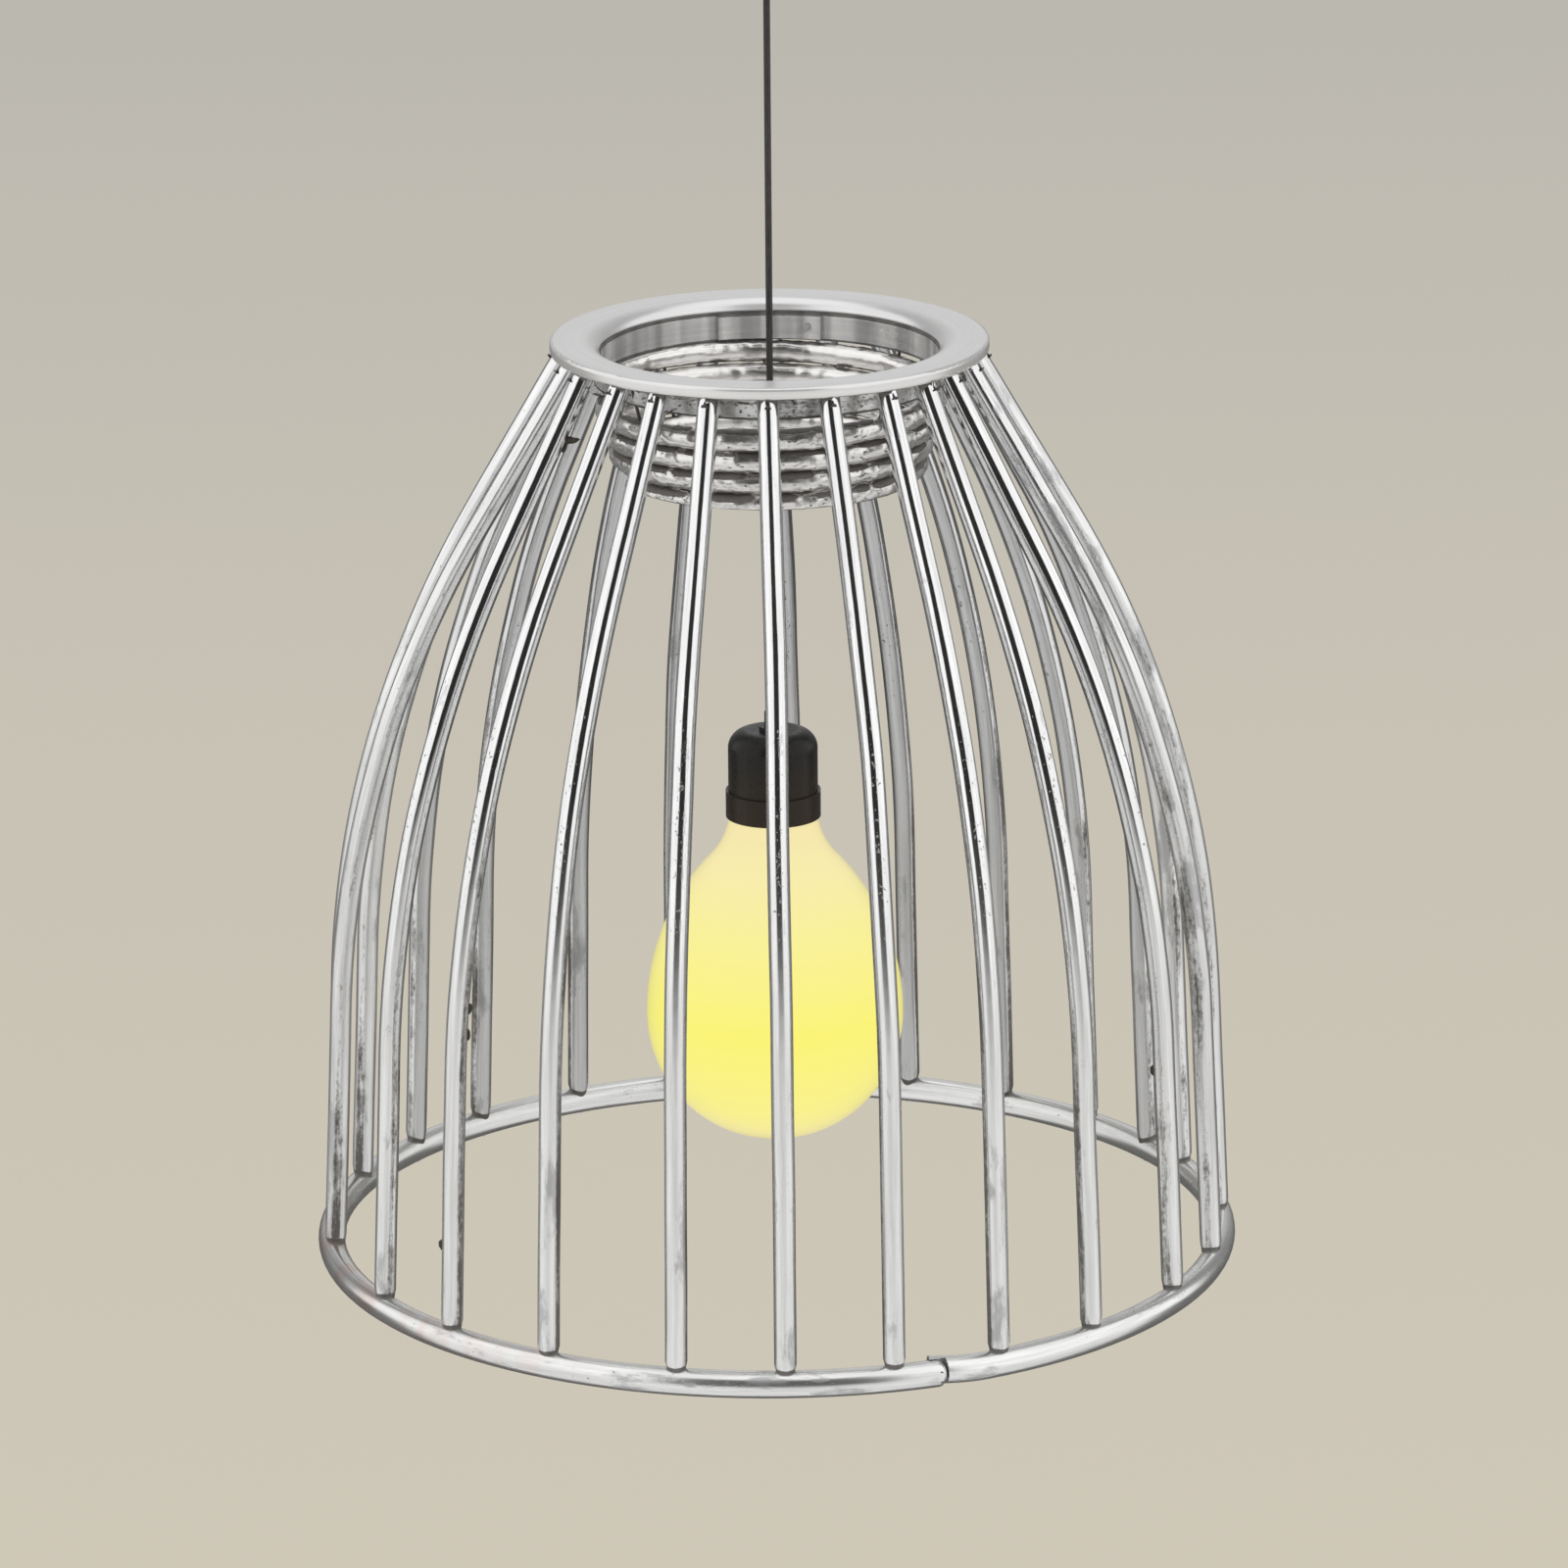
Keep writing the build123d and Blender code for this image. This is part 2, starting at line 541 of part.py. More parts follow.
# Lower shell: a spigot that screws into the cap, a straight body and a wider skirt
split_z = HOLDER_TOP_Z - CAP_H
spigot_r = HOLDER_R - HOLDER_WALL - SLIP
room_r = spigot_r - SPIGOT_WALL
skirt_top = HOLDER_RIM_Z + SKIRT_H
skirt_room_r = SKIRT_R - SKIRT_WALL
shell = disc(split_z, split_z - HOLDER_RIM_Z, HOLDER_R) + disc(split_z + SPIGOT_H, SPIGOT_H, spigot_r)
shell += disc(skirt_top, SKIRT_H, SKIRT_R)
shell -= disc(split_z + SPIGOT_H, HOLDER_H, room_r)
shell -= disc(skirt_top - SKIRT_WALL, SKIRT_H, skirt_room_r)
save("holder_shell", shell)

# Insulating insert: its floor rests on the spigot and carries the contacts
floor_under = split_z + SPIGOT_H
insert = disc(floor_under + INSERT_FLOOR, INSERT_FLOOR, spigot_r)
insert += disc(floor_under, INSERT_H, room_r - SLIP)
insert -= disc(floor_under, INSERT_H, SLEEVE_R + SLIP)
terminal_screws = []
for side in (-1, 1):
    head_at = Vector(0, side * TERMINAL_OFFSET, floor_under + INSERT_FLOOR + SEAT)
    down = Vector(0, 0, -1)
    insert -= rod(head_at, down, 2 * INSERT_FLOOR, TERMINAL_D / 2 + SLIP)
    bolt = screw(head_at, down, INSERT_FLOOR, TERMINAL_D / 2, TERMINAL_D, SCREW_HEAD_T)
    terminal_screws.append(slotted(bolt, head_at, down, TERMINAL_D, SCREW_HEAD_T))
save("socket_insert", insert)
save("terminal_screws", *terminal_screws)

sleeve_l = INSERT_H - SLEEVE_INSET
sleeve = disc(floor_under - SEAT, sleeve_l, SLEEVE_R)
sleeve -= disc(floor_under, 2 * sleeve_l, SLEEVE_R - SLEEVE_WALL)
save("thread_sleeve", sleeve)

# Spring contact: flat under the floor, then sloping down to the bulb's tip
contact_path = FilletPolyline(
    (-CONTACT_L, 0, floor_under - SEAT - CONTACT_T / 2),
    (-CONTACT_L / 2, 0, floor_under - SEAT - CONTACT_T / 2),
    (-CONTACT_L / 6, 0, floor_under - CONTACT_DROP),
    (CONTACT_L / 4, 0, floor_under - CONTACT_DROP),
    radius=CONTACT_BEND_R,
)
contact_start = Plane(origin=contact_path @ 0, x_dir=(0, 1, 0), z_dir=contact_path % 0)
contact = sweep(contact_start * Rectangle(CONTACT_W, CONTACT_T), path=contact_path)
save("centre_contact", contact)

# Bulb: a pear-shouldered globe, a straight neck inside the skirt and a screw base
tip_z = floor_under - CONTACT_DROP - CONTACT_T / 2 - SEAT
cone_z = tip_z - TIP_H
base_top = cone_z - BASE_CONE
base_low = base_top - BASE_L
neck_r = skirt_room_r - NECK_GAP
shoulder_in = SHOULDER_R * (1 - cos(radians(SHOULDER_ANGLE)))
waist_r = (GLOBE_R - shoulder_in - neck_r) / (1 - cos(radians(SHOULDER_ANGLE)))
waist_top = Vector(neck_r, HOLDER_RIM_Z + NECK_IN)
globe_z = waist_top.Y - (waist_r + SHOULDER_R) * sin(radians(SHOULDER_ANGLE))
shoulder_arc = CenterArc((GLOBE_R - SHOULDER_R, globe_z), SHOULDER_R, 0, SHOULDER_ANGLE)
waist = shoulder_arc @ 1
neck_top = base_low - (neck_r - BASE_R) / NECK_SLOPE
print("globe's middle below the ring", round(RING_Z - globe_z, 1))
glass = (
    Curve()
    + Line((0, globe_z), (0, globe_z - GLOBE_R))
    + CenterArc((0, globe_z), GLOBE_R, -90, 90)
    + shoulder_arc
    + TangentArc(waist, waist_top, tangent=shoulder_arc % 1)
    + Polyline(
        waist_top,
        (neck_r, neck_top),
        (BASE_R, base_low),
        (BASE_R, base_top),
        (TIP_R, cone_z),
        (TIP_R, tip_z),
        (0, tip_z),
        (0, globe_z),
    )
)
bulb = revolve(Plane.XZ * make_face(glass), Axis.Z)
save("bulb", bulb)
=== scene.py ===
# Pendant lamp with an open cage shade of bent canes under worn silver paint.
# The frame is the part's own: metres, +Z up, the origin on the ceiling, the front towards -Y.
from math import cos, pi, radians, sin, sqrt

import bmesh
import bpy
from mathutils import Matrix, Vector


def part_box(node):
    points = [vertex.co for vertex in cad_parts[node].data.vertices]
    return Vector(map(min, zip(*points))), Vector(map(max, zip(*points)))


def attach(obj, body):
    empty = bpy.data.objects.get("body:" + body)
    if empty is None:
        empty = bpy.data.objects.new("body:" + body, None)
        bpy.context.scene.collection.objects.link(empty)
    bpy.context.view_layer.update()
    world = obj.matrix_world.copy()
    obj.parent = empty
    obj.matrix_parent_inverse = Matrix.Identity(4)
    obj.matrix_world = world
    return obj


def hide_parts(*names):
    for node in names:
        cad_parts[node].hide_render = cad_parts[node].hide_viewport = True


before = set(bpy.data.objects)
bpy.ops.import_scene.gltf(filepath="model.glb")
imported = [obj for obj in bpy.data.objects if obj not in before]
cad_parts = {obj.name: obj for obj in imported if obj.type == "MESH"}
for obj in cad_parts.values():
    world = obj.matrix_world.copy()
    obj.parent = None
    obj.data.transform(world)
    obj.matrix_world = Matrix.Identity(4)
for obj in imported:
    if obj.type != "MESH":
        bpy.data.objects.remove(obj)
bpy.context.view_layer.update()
scene = bpy.context.scene

# Camera: a long lens 3.6 m in front of the lamp and 0.85 m above its top ring, looking down at
# it. It is rolled by half a degree, as the photograph is.
CAMERA_AT = (0.00526, -3.5957, 0.63905)
CAMERA_PITCH = radians(73.49)
CAMERA_ROLL = 0.008
CAMERA_LENS = 178.1

camera = bpy.data.objects.new("camera", bpy.data.cameras.new("camera"))
camera.data.lens = CAMERA_LENS
camera.data.sensor_width = 36
camera.data.clip_end = 100
turn = Matrix.Rotation(CAMERA_PITCH, 4, "X") @ Matrix.Rotation(-CAMERA_ROLL, 4, "Z")
camera.matrix_world = Matrix.Translation(CAMERA_AT) @ turn
scene.collection.objects.link(camera)
scene.camera = camera
scene.view_settings.view_transform = "Standard"

# Studio: white panels at both sides, a dark strip between them behind the camera, grey bands
# past them, a pale far end, a pale floor and white overhead. Only gloss sees all this, as its
# bright and dark bands. Everything else gets an even soft light.
STRIP_DARK = 0.02
PANEL_WHITE = 1.1
BAND_GREY = 0.2
END_PALE = 0.66
FLOOR_PALE = 0.86
FLOOR_BEHIND_CAMERA = 0.7568
FLOOR_FAR_DARK = 0.1
OVERHEAD_WHITE = 1.1
# All round, above the horizon and below it: degrees from the front, and a brightness.
ALL_ROUND_ABOVE = (
    (0, STRIP_DARK), (27, STRIP_DARK), (32, PANEL_WHITE), (123, PANEL_WHITE),
    (130, BAND_GREY), (146, BAND_GREY), (180, END_PALE),
)
ALL_ROUND_BELOW = (
    (0, FLOOR_BEHIND_CAMERA), (25.2, FLOOR_PALE), (97.2, FLOOR_PALE),
    (109.8, FLOOR_FAR_DARK), (180, FLOOR_FAR_DARK),
)
# How steeply a ray rises where the floor gives way to the sides, and where they do to the overhead.
HORIZON = (-0.16, 0.06)
OVERHEAD = (0.78, 0.86)
EVEN_LIGHT = (0.62, 0.615, 0.60)
SKY_SEEN = (0.50, 0.485, 0.455)


def node(tree, kind, ins=None, **settings):
    """A node of a tree, with its settings, and its inputs linked or set by their names."""
    made = tree.nodes.new(kind)
    for name, value in settings.items():
        setattr(made, name, value)
    for name, value in (ins or {}).items():
        socket = made.inputs[name]
        if isinstance(value, bpy.types.NodeSocket):
            tree.links.new(value, socket)
        else:
            socket.default_value = value
    return made


def maths(tree, operation, first, second=0.0, clamp=False):
    """One sum of two numbers or sockets."""
    made = tree.nodes.new("ShaderNodeMath")
    made.operation = operation
    made.use_clamp = clamp
    for place, value in enumerate((first, second)):
        if isinstance(value, bpy.types.NodeSocket):
            tree.links.new(value, made.inputs[place])
        else:
            made.inputs[place].default_value = value
    return made.outputs[0]


def rise(tree, value, low, high, at_low=0.0, at_high=1.0):
    """A straight change between two values, and level outside them."""
    return node(tree, "ShaderNodeMapRange", {
        "Value": value, "From Min": low, "From Max": high, "To Min": at_low, "To Max": at_high,
    }).outputs[0]


def parts_of(tree, vector):
    """The X, Y and Z of a vector."""
    return node(tree, "ShaderNodeSeparateXYZ", {0: vector}).outputs


def ramp(tree, factor, stops):
    """A colour ramp: each stop is a place and a grey or a colour."""
    made = tree.nodes.new("ShaderNodeValToRGB")
    points = made.color_ramp.elements
    while len(points) < len(stops):
        points.new(0.5)
    for point, (place, tone) in zip(points, stops):
        point.position = place
        point.color = (tone, tone, tone, 1) if isinstance(tone, (int, float)) else (*tone, 1)
    tree.links.new(factor, made.inputs[0])
    return made.outputs[0]


def mix(tree, factor, first, second, blend="MIX"):
    """A mix of two colours."""
    made = tree.nodes.new("ShaderNodeMix")
    made.data_type = "RGBA"
    made.blend_type = blend
    ends = [socket for socket in made.inputs if socket.enabled]
    for socket, value in zip(ends, (factor, first, second)):
        if isinstance(value, bpy.types.NodeSocket):
            tree.links.new(value, socket)
        elif isinstance(value, (int, float)):
            socket.default_value = value
        else:
            socket.default_value = (*value, 1)
    return next(socket for socket in made.outputs if socket.enabled)


world = bpy.data.worlds.new("studio")
scene.world = world
world.use_nodes = True
sky = world.node_tree
sky.nodes.clear()
ray = parts_of(sky, node(sky, "ShaderNodeTexCoord").outputs["Generated"])
from_front = maths(sky, "ARCTAN2", ray["X"], maths(sky, "MULTIPLY", ray["Y"], -1.0))
aside = maths(sky, "DIVIDE", maths(sky, "ABSOLUTE", from_front), pi)
above = ramp(sky, aside, [(degrees / 180, tone) for degrees, tone in ALL_ROUND_ABOVE])
below = ramp(sky, aside, [(degrees / 180, tone) for degrees, tone in ALL_ROUND_BELOW])
gloss_seen = mix(sky, rise(sky, ray["Z"], *HORIZON), below, above)
gloss_seen = mix(sky, rise(sky, ray["Z"], *OVERHEAD), gloss_seen, (OVERHEAD_WHITE,) * 3)
sky_path = node(sky, "ShaderNodeLightPath").outputs
plain = mix(sky, sky_path["Is Camera Ray"], EVEN_LIGHT, SKY_SEEN)
sky_colour = mix(sky, sky_path["Is Glossy Ray"], plain, gloss_seen)
sky_light = node(sky, "ShaderNodeBackground", {"Color": sky_colour})
node(sky, "ShaderNodeOutputWorld", {"Surface": sky_light.outputs[0]})

# Floor: pale and plain, 1.5 m under the lamp. It fills the picture, a warm tone near the lamp and
# a cooler one far away. It takes light as any floor does, and is seen at its own even tone.
FLOOR_Z = -2.2
FLOOR_HALF = 40.0
FLOOR_SIGNS = ((-1, -1), (1, -1), (1, 1), (-1, 1))
FLOOR_NEAR = (0.625, 0.578, 0.478)
FLOOR_FAR = (0.497, 0.479, 0.434)
FLOOR_NEAR_Y = 3.2
FLOOR_FAR_Y = 11.0


def object_spot(tree):
    """The X, Y and Z of a point of the piece."""
    return parts_of(tree, node(tree, "ShaderNodeTexCoord").outputs["Object"])


floor_mesh = bpy.data.meshes.new("floor")
floor_corners = [(x * FLOOR_HALF, y * FLOOR_HALF, FLOOR_Z) for x, y in FLOOR_SIGNS]
floor_mesh.from_pydata(floor_corners, [], [(0, 1, 2, 3)])
floor = bpy.data.objects.new("floor", floor_mesh)
scene.collection.objects.link(floor)
floor.visible_glossy = False
floor_look = bpy.data.materials.new("floor_pale")
floor_look.use_nodes = True
tree = floor_look.node_tree
tree.nodes.clear()
floor_run = rise(tree, object_spot(tree)["Y"], FLOOR_NEAR_Y, FLOOR_FAR_Y)
floor_tone = mix(tree, floor_run, FLOOR_NEAR, FLOOR_FAR)
floor_seen = node(tree, "ShaderNodeEmission", {"Color": floor_tone}).outputs[0]
floor_lit = node(tree, "ShaderNodeBsdfDiffuse", {"Color": floor_tone}).outputs[0]
floor_path = node(tree, "ShaderNodeLightPath").outputs
seen = maths(tree, "MAXIMUM", floor_path["Is Camera Ray"], floor_path["Is Transmission Ray"])
floor_mix = node(tree, "ShaderNodeMixShader", {0: seen, 1: floor_lit, 2: floor_seen})
node(tree, "ShaderNodeOutputMaterial", {"Surface": floor_mix.outputs[0]})
floor_mesh.materials.append(floor_look)

# Lamps: two soft boxes in front of the shade, the stronger one at the upper left. Gloss sees the
# studio's panels in their place.
SOFTBOX_SIZE = 1.8
SOFTBOX_AIM = Vector((0, 0, -0.45))

for name, at, power in (
    ("softbox_left", (-2.6, -2.6, 1.6), 34.0),
    ("softbox_right", (2.8, -2.2, 0.9), 22.0),
):
    lamp = bpy.data.objects.new(name, bpy.data.lights.new(name, "AREA"))
    lamp.data.energy = power
    lamp.data.size = SOFTBOX_SIZE
    lamp.location = at
    lamp.visible_glossy = False
    lamp.rotation_euler = (SOFTBOX_AIM - Vector(at)).to_track_quat("-Z", "Y").to_euler()
    scene.collection.objects.link(lamp)

# Cord: round black two-core cord, held taut by the lamp's weight. It leaves the socket's
# terminals, goes up through the middle of the shade and ends in the ceiling cup's block.
CORD_R = 0.0016
cord_low, cord_high = (corner.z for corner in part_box("cord"))
CORD_POINTS = 5

cord_curve = bpy.data.curves.new("lamp_cord", "CURVE")
cord_curve.dimensions = "3D"
cord_curve.bevel_depth = CORD_R
cord_curve.bevel_resolution = 6
cord_curve.use_fill_caps = True
cord_line = cord_curve.splines.new("NURBS")
cord_line.points.add(CORD_POINTS - 1)
for step, point in enumerate(cord_line.points):
    point.co = (0, 0, cord_low + (cord_high - cord_low) * step / (CORD_POINTS - 1), 1)
cord_line.order_u = 3
cord_line.use_endpoint_u = True
cord_piece = bpy.data.objects.new("lamp_cord", cord_curve)
scene.collection.objects.link(cord_piece)

cord_look = bpy.data.materials.new("black_cord_sheath")
cord_look.use_nodes = True
tree = cord_look.node_tree
sheath = tree.nodes["Principled BSDF"]
cord_place = node(tree, "ShaderNodeMapping", {
    "Vector": node(tree, "ShaderNodeTexCoord").outputs["Object"], "Scale": (1.0, 1.0, 0.25),
}).outputs[0]
cord_marks = node(tree, "ShaderNodeTexNoise", {
    "Vector": cord_place, "Scale": 900.0, "Detail": 4.0,
}).outputs["Fac"]
cord_tone = ramp(tree, cord_marks, ((0.3, (0.022, 0.021, 0.02)), (0.75, (0.06, 0.057, 0.053))))
cord_rough = ramp(tree, cord_marks, ((0.2, 0.38), (0.8, 0.6)))
cord_relief = node(tree, "ShaderNodeBump", {
    "Height": cord_marks, "Strength": 0.25, "Distance": 0.0002,
}).outputs[0]
tree.links.new(cord_tone, sheath.inputs["Base Color"])
tree.links.new(cord_rough, sheath.inputs["Roughness"])
tree.links.new(cord_relief, sheath.inputs["Normal"])
cord_curve.materials.append(cord_look)
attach(cord_piece, "root")
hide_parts("cord")

# Ribs: twenty-four canes of 10.5 mm, steamed and bent over one former, cut flat under the top
# ring and hollowed at the foot to sit on the foot ring. They were spaced by eye, so no two stand
# alike. Silver paint covers them, glossy near the top and worn to a dull grey lower down.
RIB_R = 0.00525
RIB_TOP_R = 0.0963
RIB_KNEE_R = 0.206
RIB_FOOT_R = 0.2174
RIB_TOP_Z = -0.211
RIB_KNEE_Z = -0.4004
RIB_FOOT_Z = -0.6465
RIB_BEND_R = 0.519
RIB_TOP_LEAN = (RIB_KNEE_R - RIB_TOP_R) / (RIB_TOP_Z - RIB_KNEE_Z)
RIB_TOP_ANGLES = (-74, -64, -46, -32, -17, -0.5, 16.5, 34, 48, 59.5, 73, 88,
                  104, 119, 135, 150, 166, 180, 196, 212, 228, 240, 254, 268)
RIB_FOOT_ANGLES = (-81.5, -59.5, -45, -29.5, -12.5, 1, 14.5, 28.5, 43, 60.5, 75.5, 92,
                   111, 120.5, 133, 147.5, 161.5, 177.5, 194, 208, 224, 237, 252, 267)
RIB_WAVINESS = 0.0012
RIB_LUMPS = 0.0002
RIB_LUMP_SCALE = 26.0
FOOT_RING_R = 0.2185
FOOT_RING_Z = -0.653
FOOT_ROD_R = 0.0065


def polar(radius, angle, z):
    """A point at an angle from the front, seen from above."""
    return Vector((radius * sin(radians(angle)), -radius * cos(radians(angle)), z))


def joined(tree, **parts):
    """A vector of the X, Y and Z that are given, and 0 for the others."""
    return node(tree, "ShaderNodeCombineXYZ", parts).outputs[0]


def scaled(tree, vector, by):
    """A vector times a number."""
    return node(tree, "ShaderNodeVectorMath", {0: vector, "Scale": by}, operation="SCALE").outputs[0]


def off_axis(tree, spot):
    """How far a point is from the lamp's axis."""
    flat_spot = joined(tree, X=spot["X"], Y=spot["Y"])
    return node(tree, "ShaderNodeVectorMath", {0: flat_spot}, operation="LENGTH").outputs["Value"]


def new_tree(name, numbers, materials):
    """A geometry tree with a geometry input and output, and named inputs."""
    made = bpy.data.node_groups.new(name, "GeometryNodeTree")
    made.interface.new_socket("Geometry", in_out="INPUT", socket_type="NodeSocketGeometry")
    for label, value in numbers:
        socket = made.interface.new_socket(label, in_out="INPUT", socket_type="NodeSocketFloat")
        socket.default_value = value
    for label in materials:
        made.interface.new_socket(label, in_out="INPUT", socket_type="NodeSocketMaterial")
    made.interface.new_socket("Geometry", in_out="OUTPUT", socket_type="NodeSocketGeometry")
    return made


def grow(name, source, tree, values):
    """The tree's result on a curve, as a plain mesh object of that name."""
    scene.collection.objects.link(source)
    modifier = source.modifiers.new(tree.name, "NODES")
    modifier.node_group = tree
    for item in tree.interface.items_tree:
        if item.in_out == "INPUT" and item.name in values:
            modifier[item.identifier] = values[item.name]
    depsgraph = bpy.context.evaluated_depsgraph_get()
    mesh = bpy.data.meshes.new_from_object(source.evaluated_get(depsgraph), depsgraph=depsgraph)
    mesh.name = name
    bpy.data.objects.remove(source)
    made = bpy.data.objects.new(name, mesh)
    scene.collection.objects.link(made)
    return made


def poly_line(name, points):
    """An unlinked curve object through the points, with no thickness."""
    data = bpy.data.curves.new(name, "CURVE")
    data.dimensions = "3D"
    line = data.splines.new("POLY")
    line.points.add(len(points) - 1)
    for place, point in zip(line.points, points):
        place.co = (*point, 1)
    return bpy.data.objects.new(name, data)


# The tree of every cane: it bends the line at its corners, sways its middle, gives it a round
# section with small lumps, and draws in the last end. Each point keeps where it is on the cane.
CANE_SIDES = 28
CANE_SIDE_FACE_POINTS = 4
CANE_BEND_STEPS = 24
CANE_SWAY_SCALE = 9.0
CANE_SWAY_GAIN = 8.0
CANE_LUMP_MIDDLE = 0.62
CUT_END_WIDTH = 0.84
LEAST_LENGTH = 0.00001

cane_tree = new_tree("bent_cane", (
    ("Cane radius", 0.005), ("Bend radius", 0.0), ("Step", 0.003), ("Waviness", 0.0),
    ("Lumps", 0.0), ("Lump scale", 60.0), ("Rounded end", 0.0), ("Seed", 0.0),
), ("Paint",))
tree = cane_tree
given = tree.nodes.new("NodeGroupInput").outputs
position = node(tree, "GeometryNodeInputPosition").outputs[0]
line = node(tree, "GeometryNodeFilletCurve", {
    "Curve": given["Geometry"], "Count": CANE_BEND_STEPS, "Radius": given["Bend radius"],
    "Limit Radius": True,
}, mode="POLY").outputs[0]
line = node(tree, "GeometryNodeResampleCurve", {
    "Curve": line, "Length": given["Step"],
}, mode="LENGTH").outputs[0]
along = node(tree, "GeometryNodeSplineParameter").outputs
whole_length = node(tree, "GeometryNodeSplineLength").outputs["Length"]
from_end = maths(tree, "SUBTRACT", whole_length, along["Length"])
for label, value in (("along", along["Length"]), ("share", along["Factor"]), ("from_end", from_end)):
    line = node(tree, "GeometryNodeStoreNamedAttribute", {
        "Geometry": line, "Name": label, "Value": value,
    }).outputs[0]
sway_noise = node(tree, "ShaderNodeTexNoise", {
    "Vector": position, "W": given["Seed"], "Scale": CANE_SWAY_SCALE, "Detail": 1.0,
}, noise_dimensions="4D").outputs["Color"]
sway = node(tree, "ShaderNodeVectorMath", {
    0: sway_noise, 1: (0.5, 0.5, 0.5),
}, operation="SUBTRACT").outputs[0]
middle_most = maths(tree, "MULTIPLY", along["Factor"], maths(tree, "SUBTRACT", 1.0, along["Factor"]))
sway_by = maths(tree, "MULTIPLY", middle_most, CANE_SWAY_GAIN)
sway_by = maths(tree, "MULTIPLY", sway_by, given["Waviness"])
line = node(tree, "GeometryNodeSetPosition", {
    "Geometry": line, "Offset": scaled(tree, sway, sway_by),
}).outputs[0]
section = node(tree, "GeometryNodeCurvePrimitiveCircle", {
    "Resolution": CANE_SIDES, "Radius": given["Cane radius"],
}).outputs[0]
section = node(tree, "GeometryNodeStoreNamedAttribute", {
    "Geometry": section, "Name": "section", "Value": position,
}, data_type="FLOAT_VECTOR").outputs[0]
round_over = maths(tree, "MAXIMUM", given["Rounded end"], LEAST_LENGTH)
end_fall = maths(tree, "SUBTRACT", 1.0, maths(tree, "DIVIDE", from_end, round_over, clamp=True))
end_round = maths(tree, "SUBTRACT", 1.0, maths(tree, "MULTIPLY", end_fall, end_fall))
end_round = maths(tree, "MULTIPLY", maths(tree, "SQRT", end_round), 1 - CUT_END_WIDTH)
cane = node(tree, "GeometryNodeCurveToMesh", {
    "Curve": line, "Profile Curve": section, "Scale": maths(tree, "ADD", CUT_END_WIDTH, end_round),
    "Fill Caps": True,
}).outputs[0]
lump_noise = node(tree, "ShaderNodeTexNoise", {
    "Vector": position, "W": given["Seed"], "Scale": given["Lump scale"], "Detail": 3.0,
}, noise_dimensions="4D").outputs["Fac"]
lump_by = maths(tree, "SUBTRACT", lump_noise, CANE_LUMP_MIDDLE)
lump_by = maths(tree, "MULTIPLY", lump_by, given["Lumps"])
outwards = node(tree, "GeometryNodeInputNormal").outputs["Normal"]
cane = node(tree, "GeometryNodeSetPosition", {
    "Geometry": cane, "Offset": scaled(tree, outwards, lump_by),
}).outputs[0]
face_points = node(tree, "GeometryNodeInputMeshFaceNeighbors").outputs["Vertex Count"]
side_face = maths(tree, "LESS_THAN", face_points, CANE_SIDE_FACE_POINTS + 0.5)
cane = node(tree, "GeometryNodeSetShadeSmooth", {
    "Geometry": cane, "Shade Smooth": side_face,
}).outputs[0]
cane = node(tree, "GeometryNodeSetMaterial", {"Geometry": cane, "Material": given["Paint"]}).outputs[0]
cane = node(tree, "GeometryNodeRealizeInstances", {"Geometry": cane}).outputs[0]
node(tree, "NodeGroupOutput", {"Geometry": cane})

# The ribs' own tree: a bent cane whose ends are then cut, the upper one level under the ring,
# the lower one to the round of the foot ring.
END_SHARE = 0.0005

rib_tree = new_tree("rib_from_cane", (
    ("Cane radius", RIB_R), ("Bend radius", RIB_BEND_R), ("Waviness", 0.0), ("Seed", 0.0),
    ("Top level", RIB_TOP_Z), ("Ring radius", FOOT_RING_R), ("Ring level", FOOT_RING_Z),
    ("Rod radius", FOOT_ROD_R),
), ("Paint",))
tree = rib_tree
given = tree.nodes.new("NodeGroupInput").outputs
cane = node(tree, "GeometryNodeGroup", node_tree=cane_tree)
for label in ("Geometry", "Cane radius", "Bend radius", "Waviness", "Seed", "Paint"):
    tree.links.new(given[label], cane.inputs[label])
cane.inputs["Lumps"].default_value = RIB_LUMPS
cane.inputs["Lump scale"].default_value = RIB_LUMP_SCALE
share = node(tree, "GeometryNodeInputNamedAttribute", {"Name": "share"}).outputs["Attribute"]
spot = parts_of(tree, node(tree, "GeometryNodeInputPosition").outputs[0])
spot_r = off_axis(tree, spot)
lift = maths(tree, "SUBTRACT", given["Top level"], spot["Z"])
lean = maths(tree, "DIVIDE", maths(tree, "MULTIPLY", lift, -RIB_TOP_LEAN), spot_r)
lean = parts_of(tree, scaled(tree, joined(tree, X=spot["X"], Y=spot["Y"]), lean))
topped = node(tree, "GeometryNodeSetPosition", {
    "Geometry": cane.outputs[0],
    "Selection": maths(tree, "LESS_THAN", share, END_SHARE),
    "Offset": joined(tree, X=lean["X"], Y=lean["Y"], Z=lift),
}).outputs[0]
off_ring = maths(tree, "SUBTRACT", spot_r, given["Ring radius"])
rod_square = maths(tree, "MULTIPLY", given["Rod radius"], given["Rod radius"])
saddle = maths(tree, "SUBTRACT", rod_square, maths(tree, "MULTIPLY", off_ring, off_ring))
saddle = maths(tree, "SQRT", maths(tree, "MAXIMUM", saddle, 0.0))
saddle = maths(tree, "ADD", given["Ring level"], saddle)
footed = node(tree, "GeometryNodeSetPosition", {
    "Geometry": topped,
    "Selection": maths(tree, "GREATER_THAN", share, 1 - END_SHARE),
    "Offset": joined(tree, Z=maths(tree, "SUBTRACT", saddle, spot["Z"])),
}).outputs[0]
node(tree, "NodeGroupOutput", {"Geometry": footed})

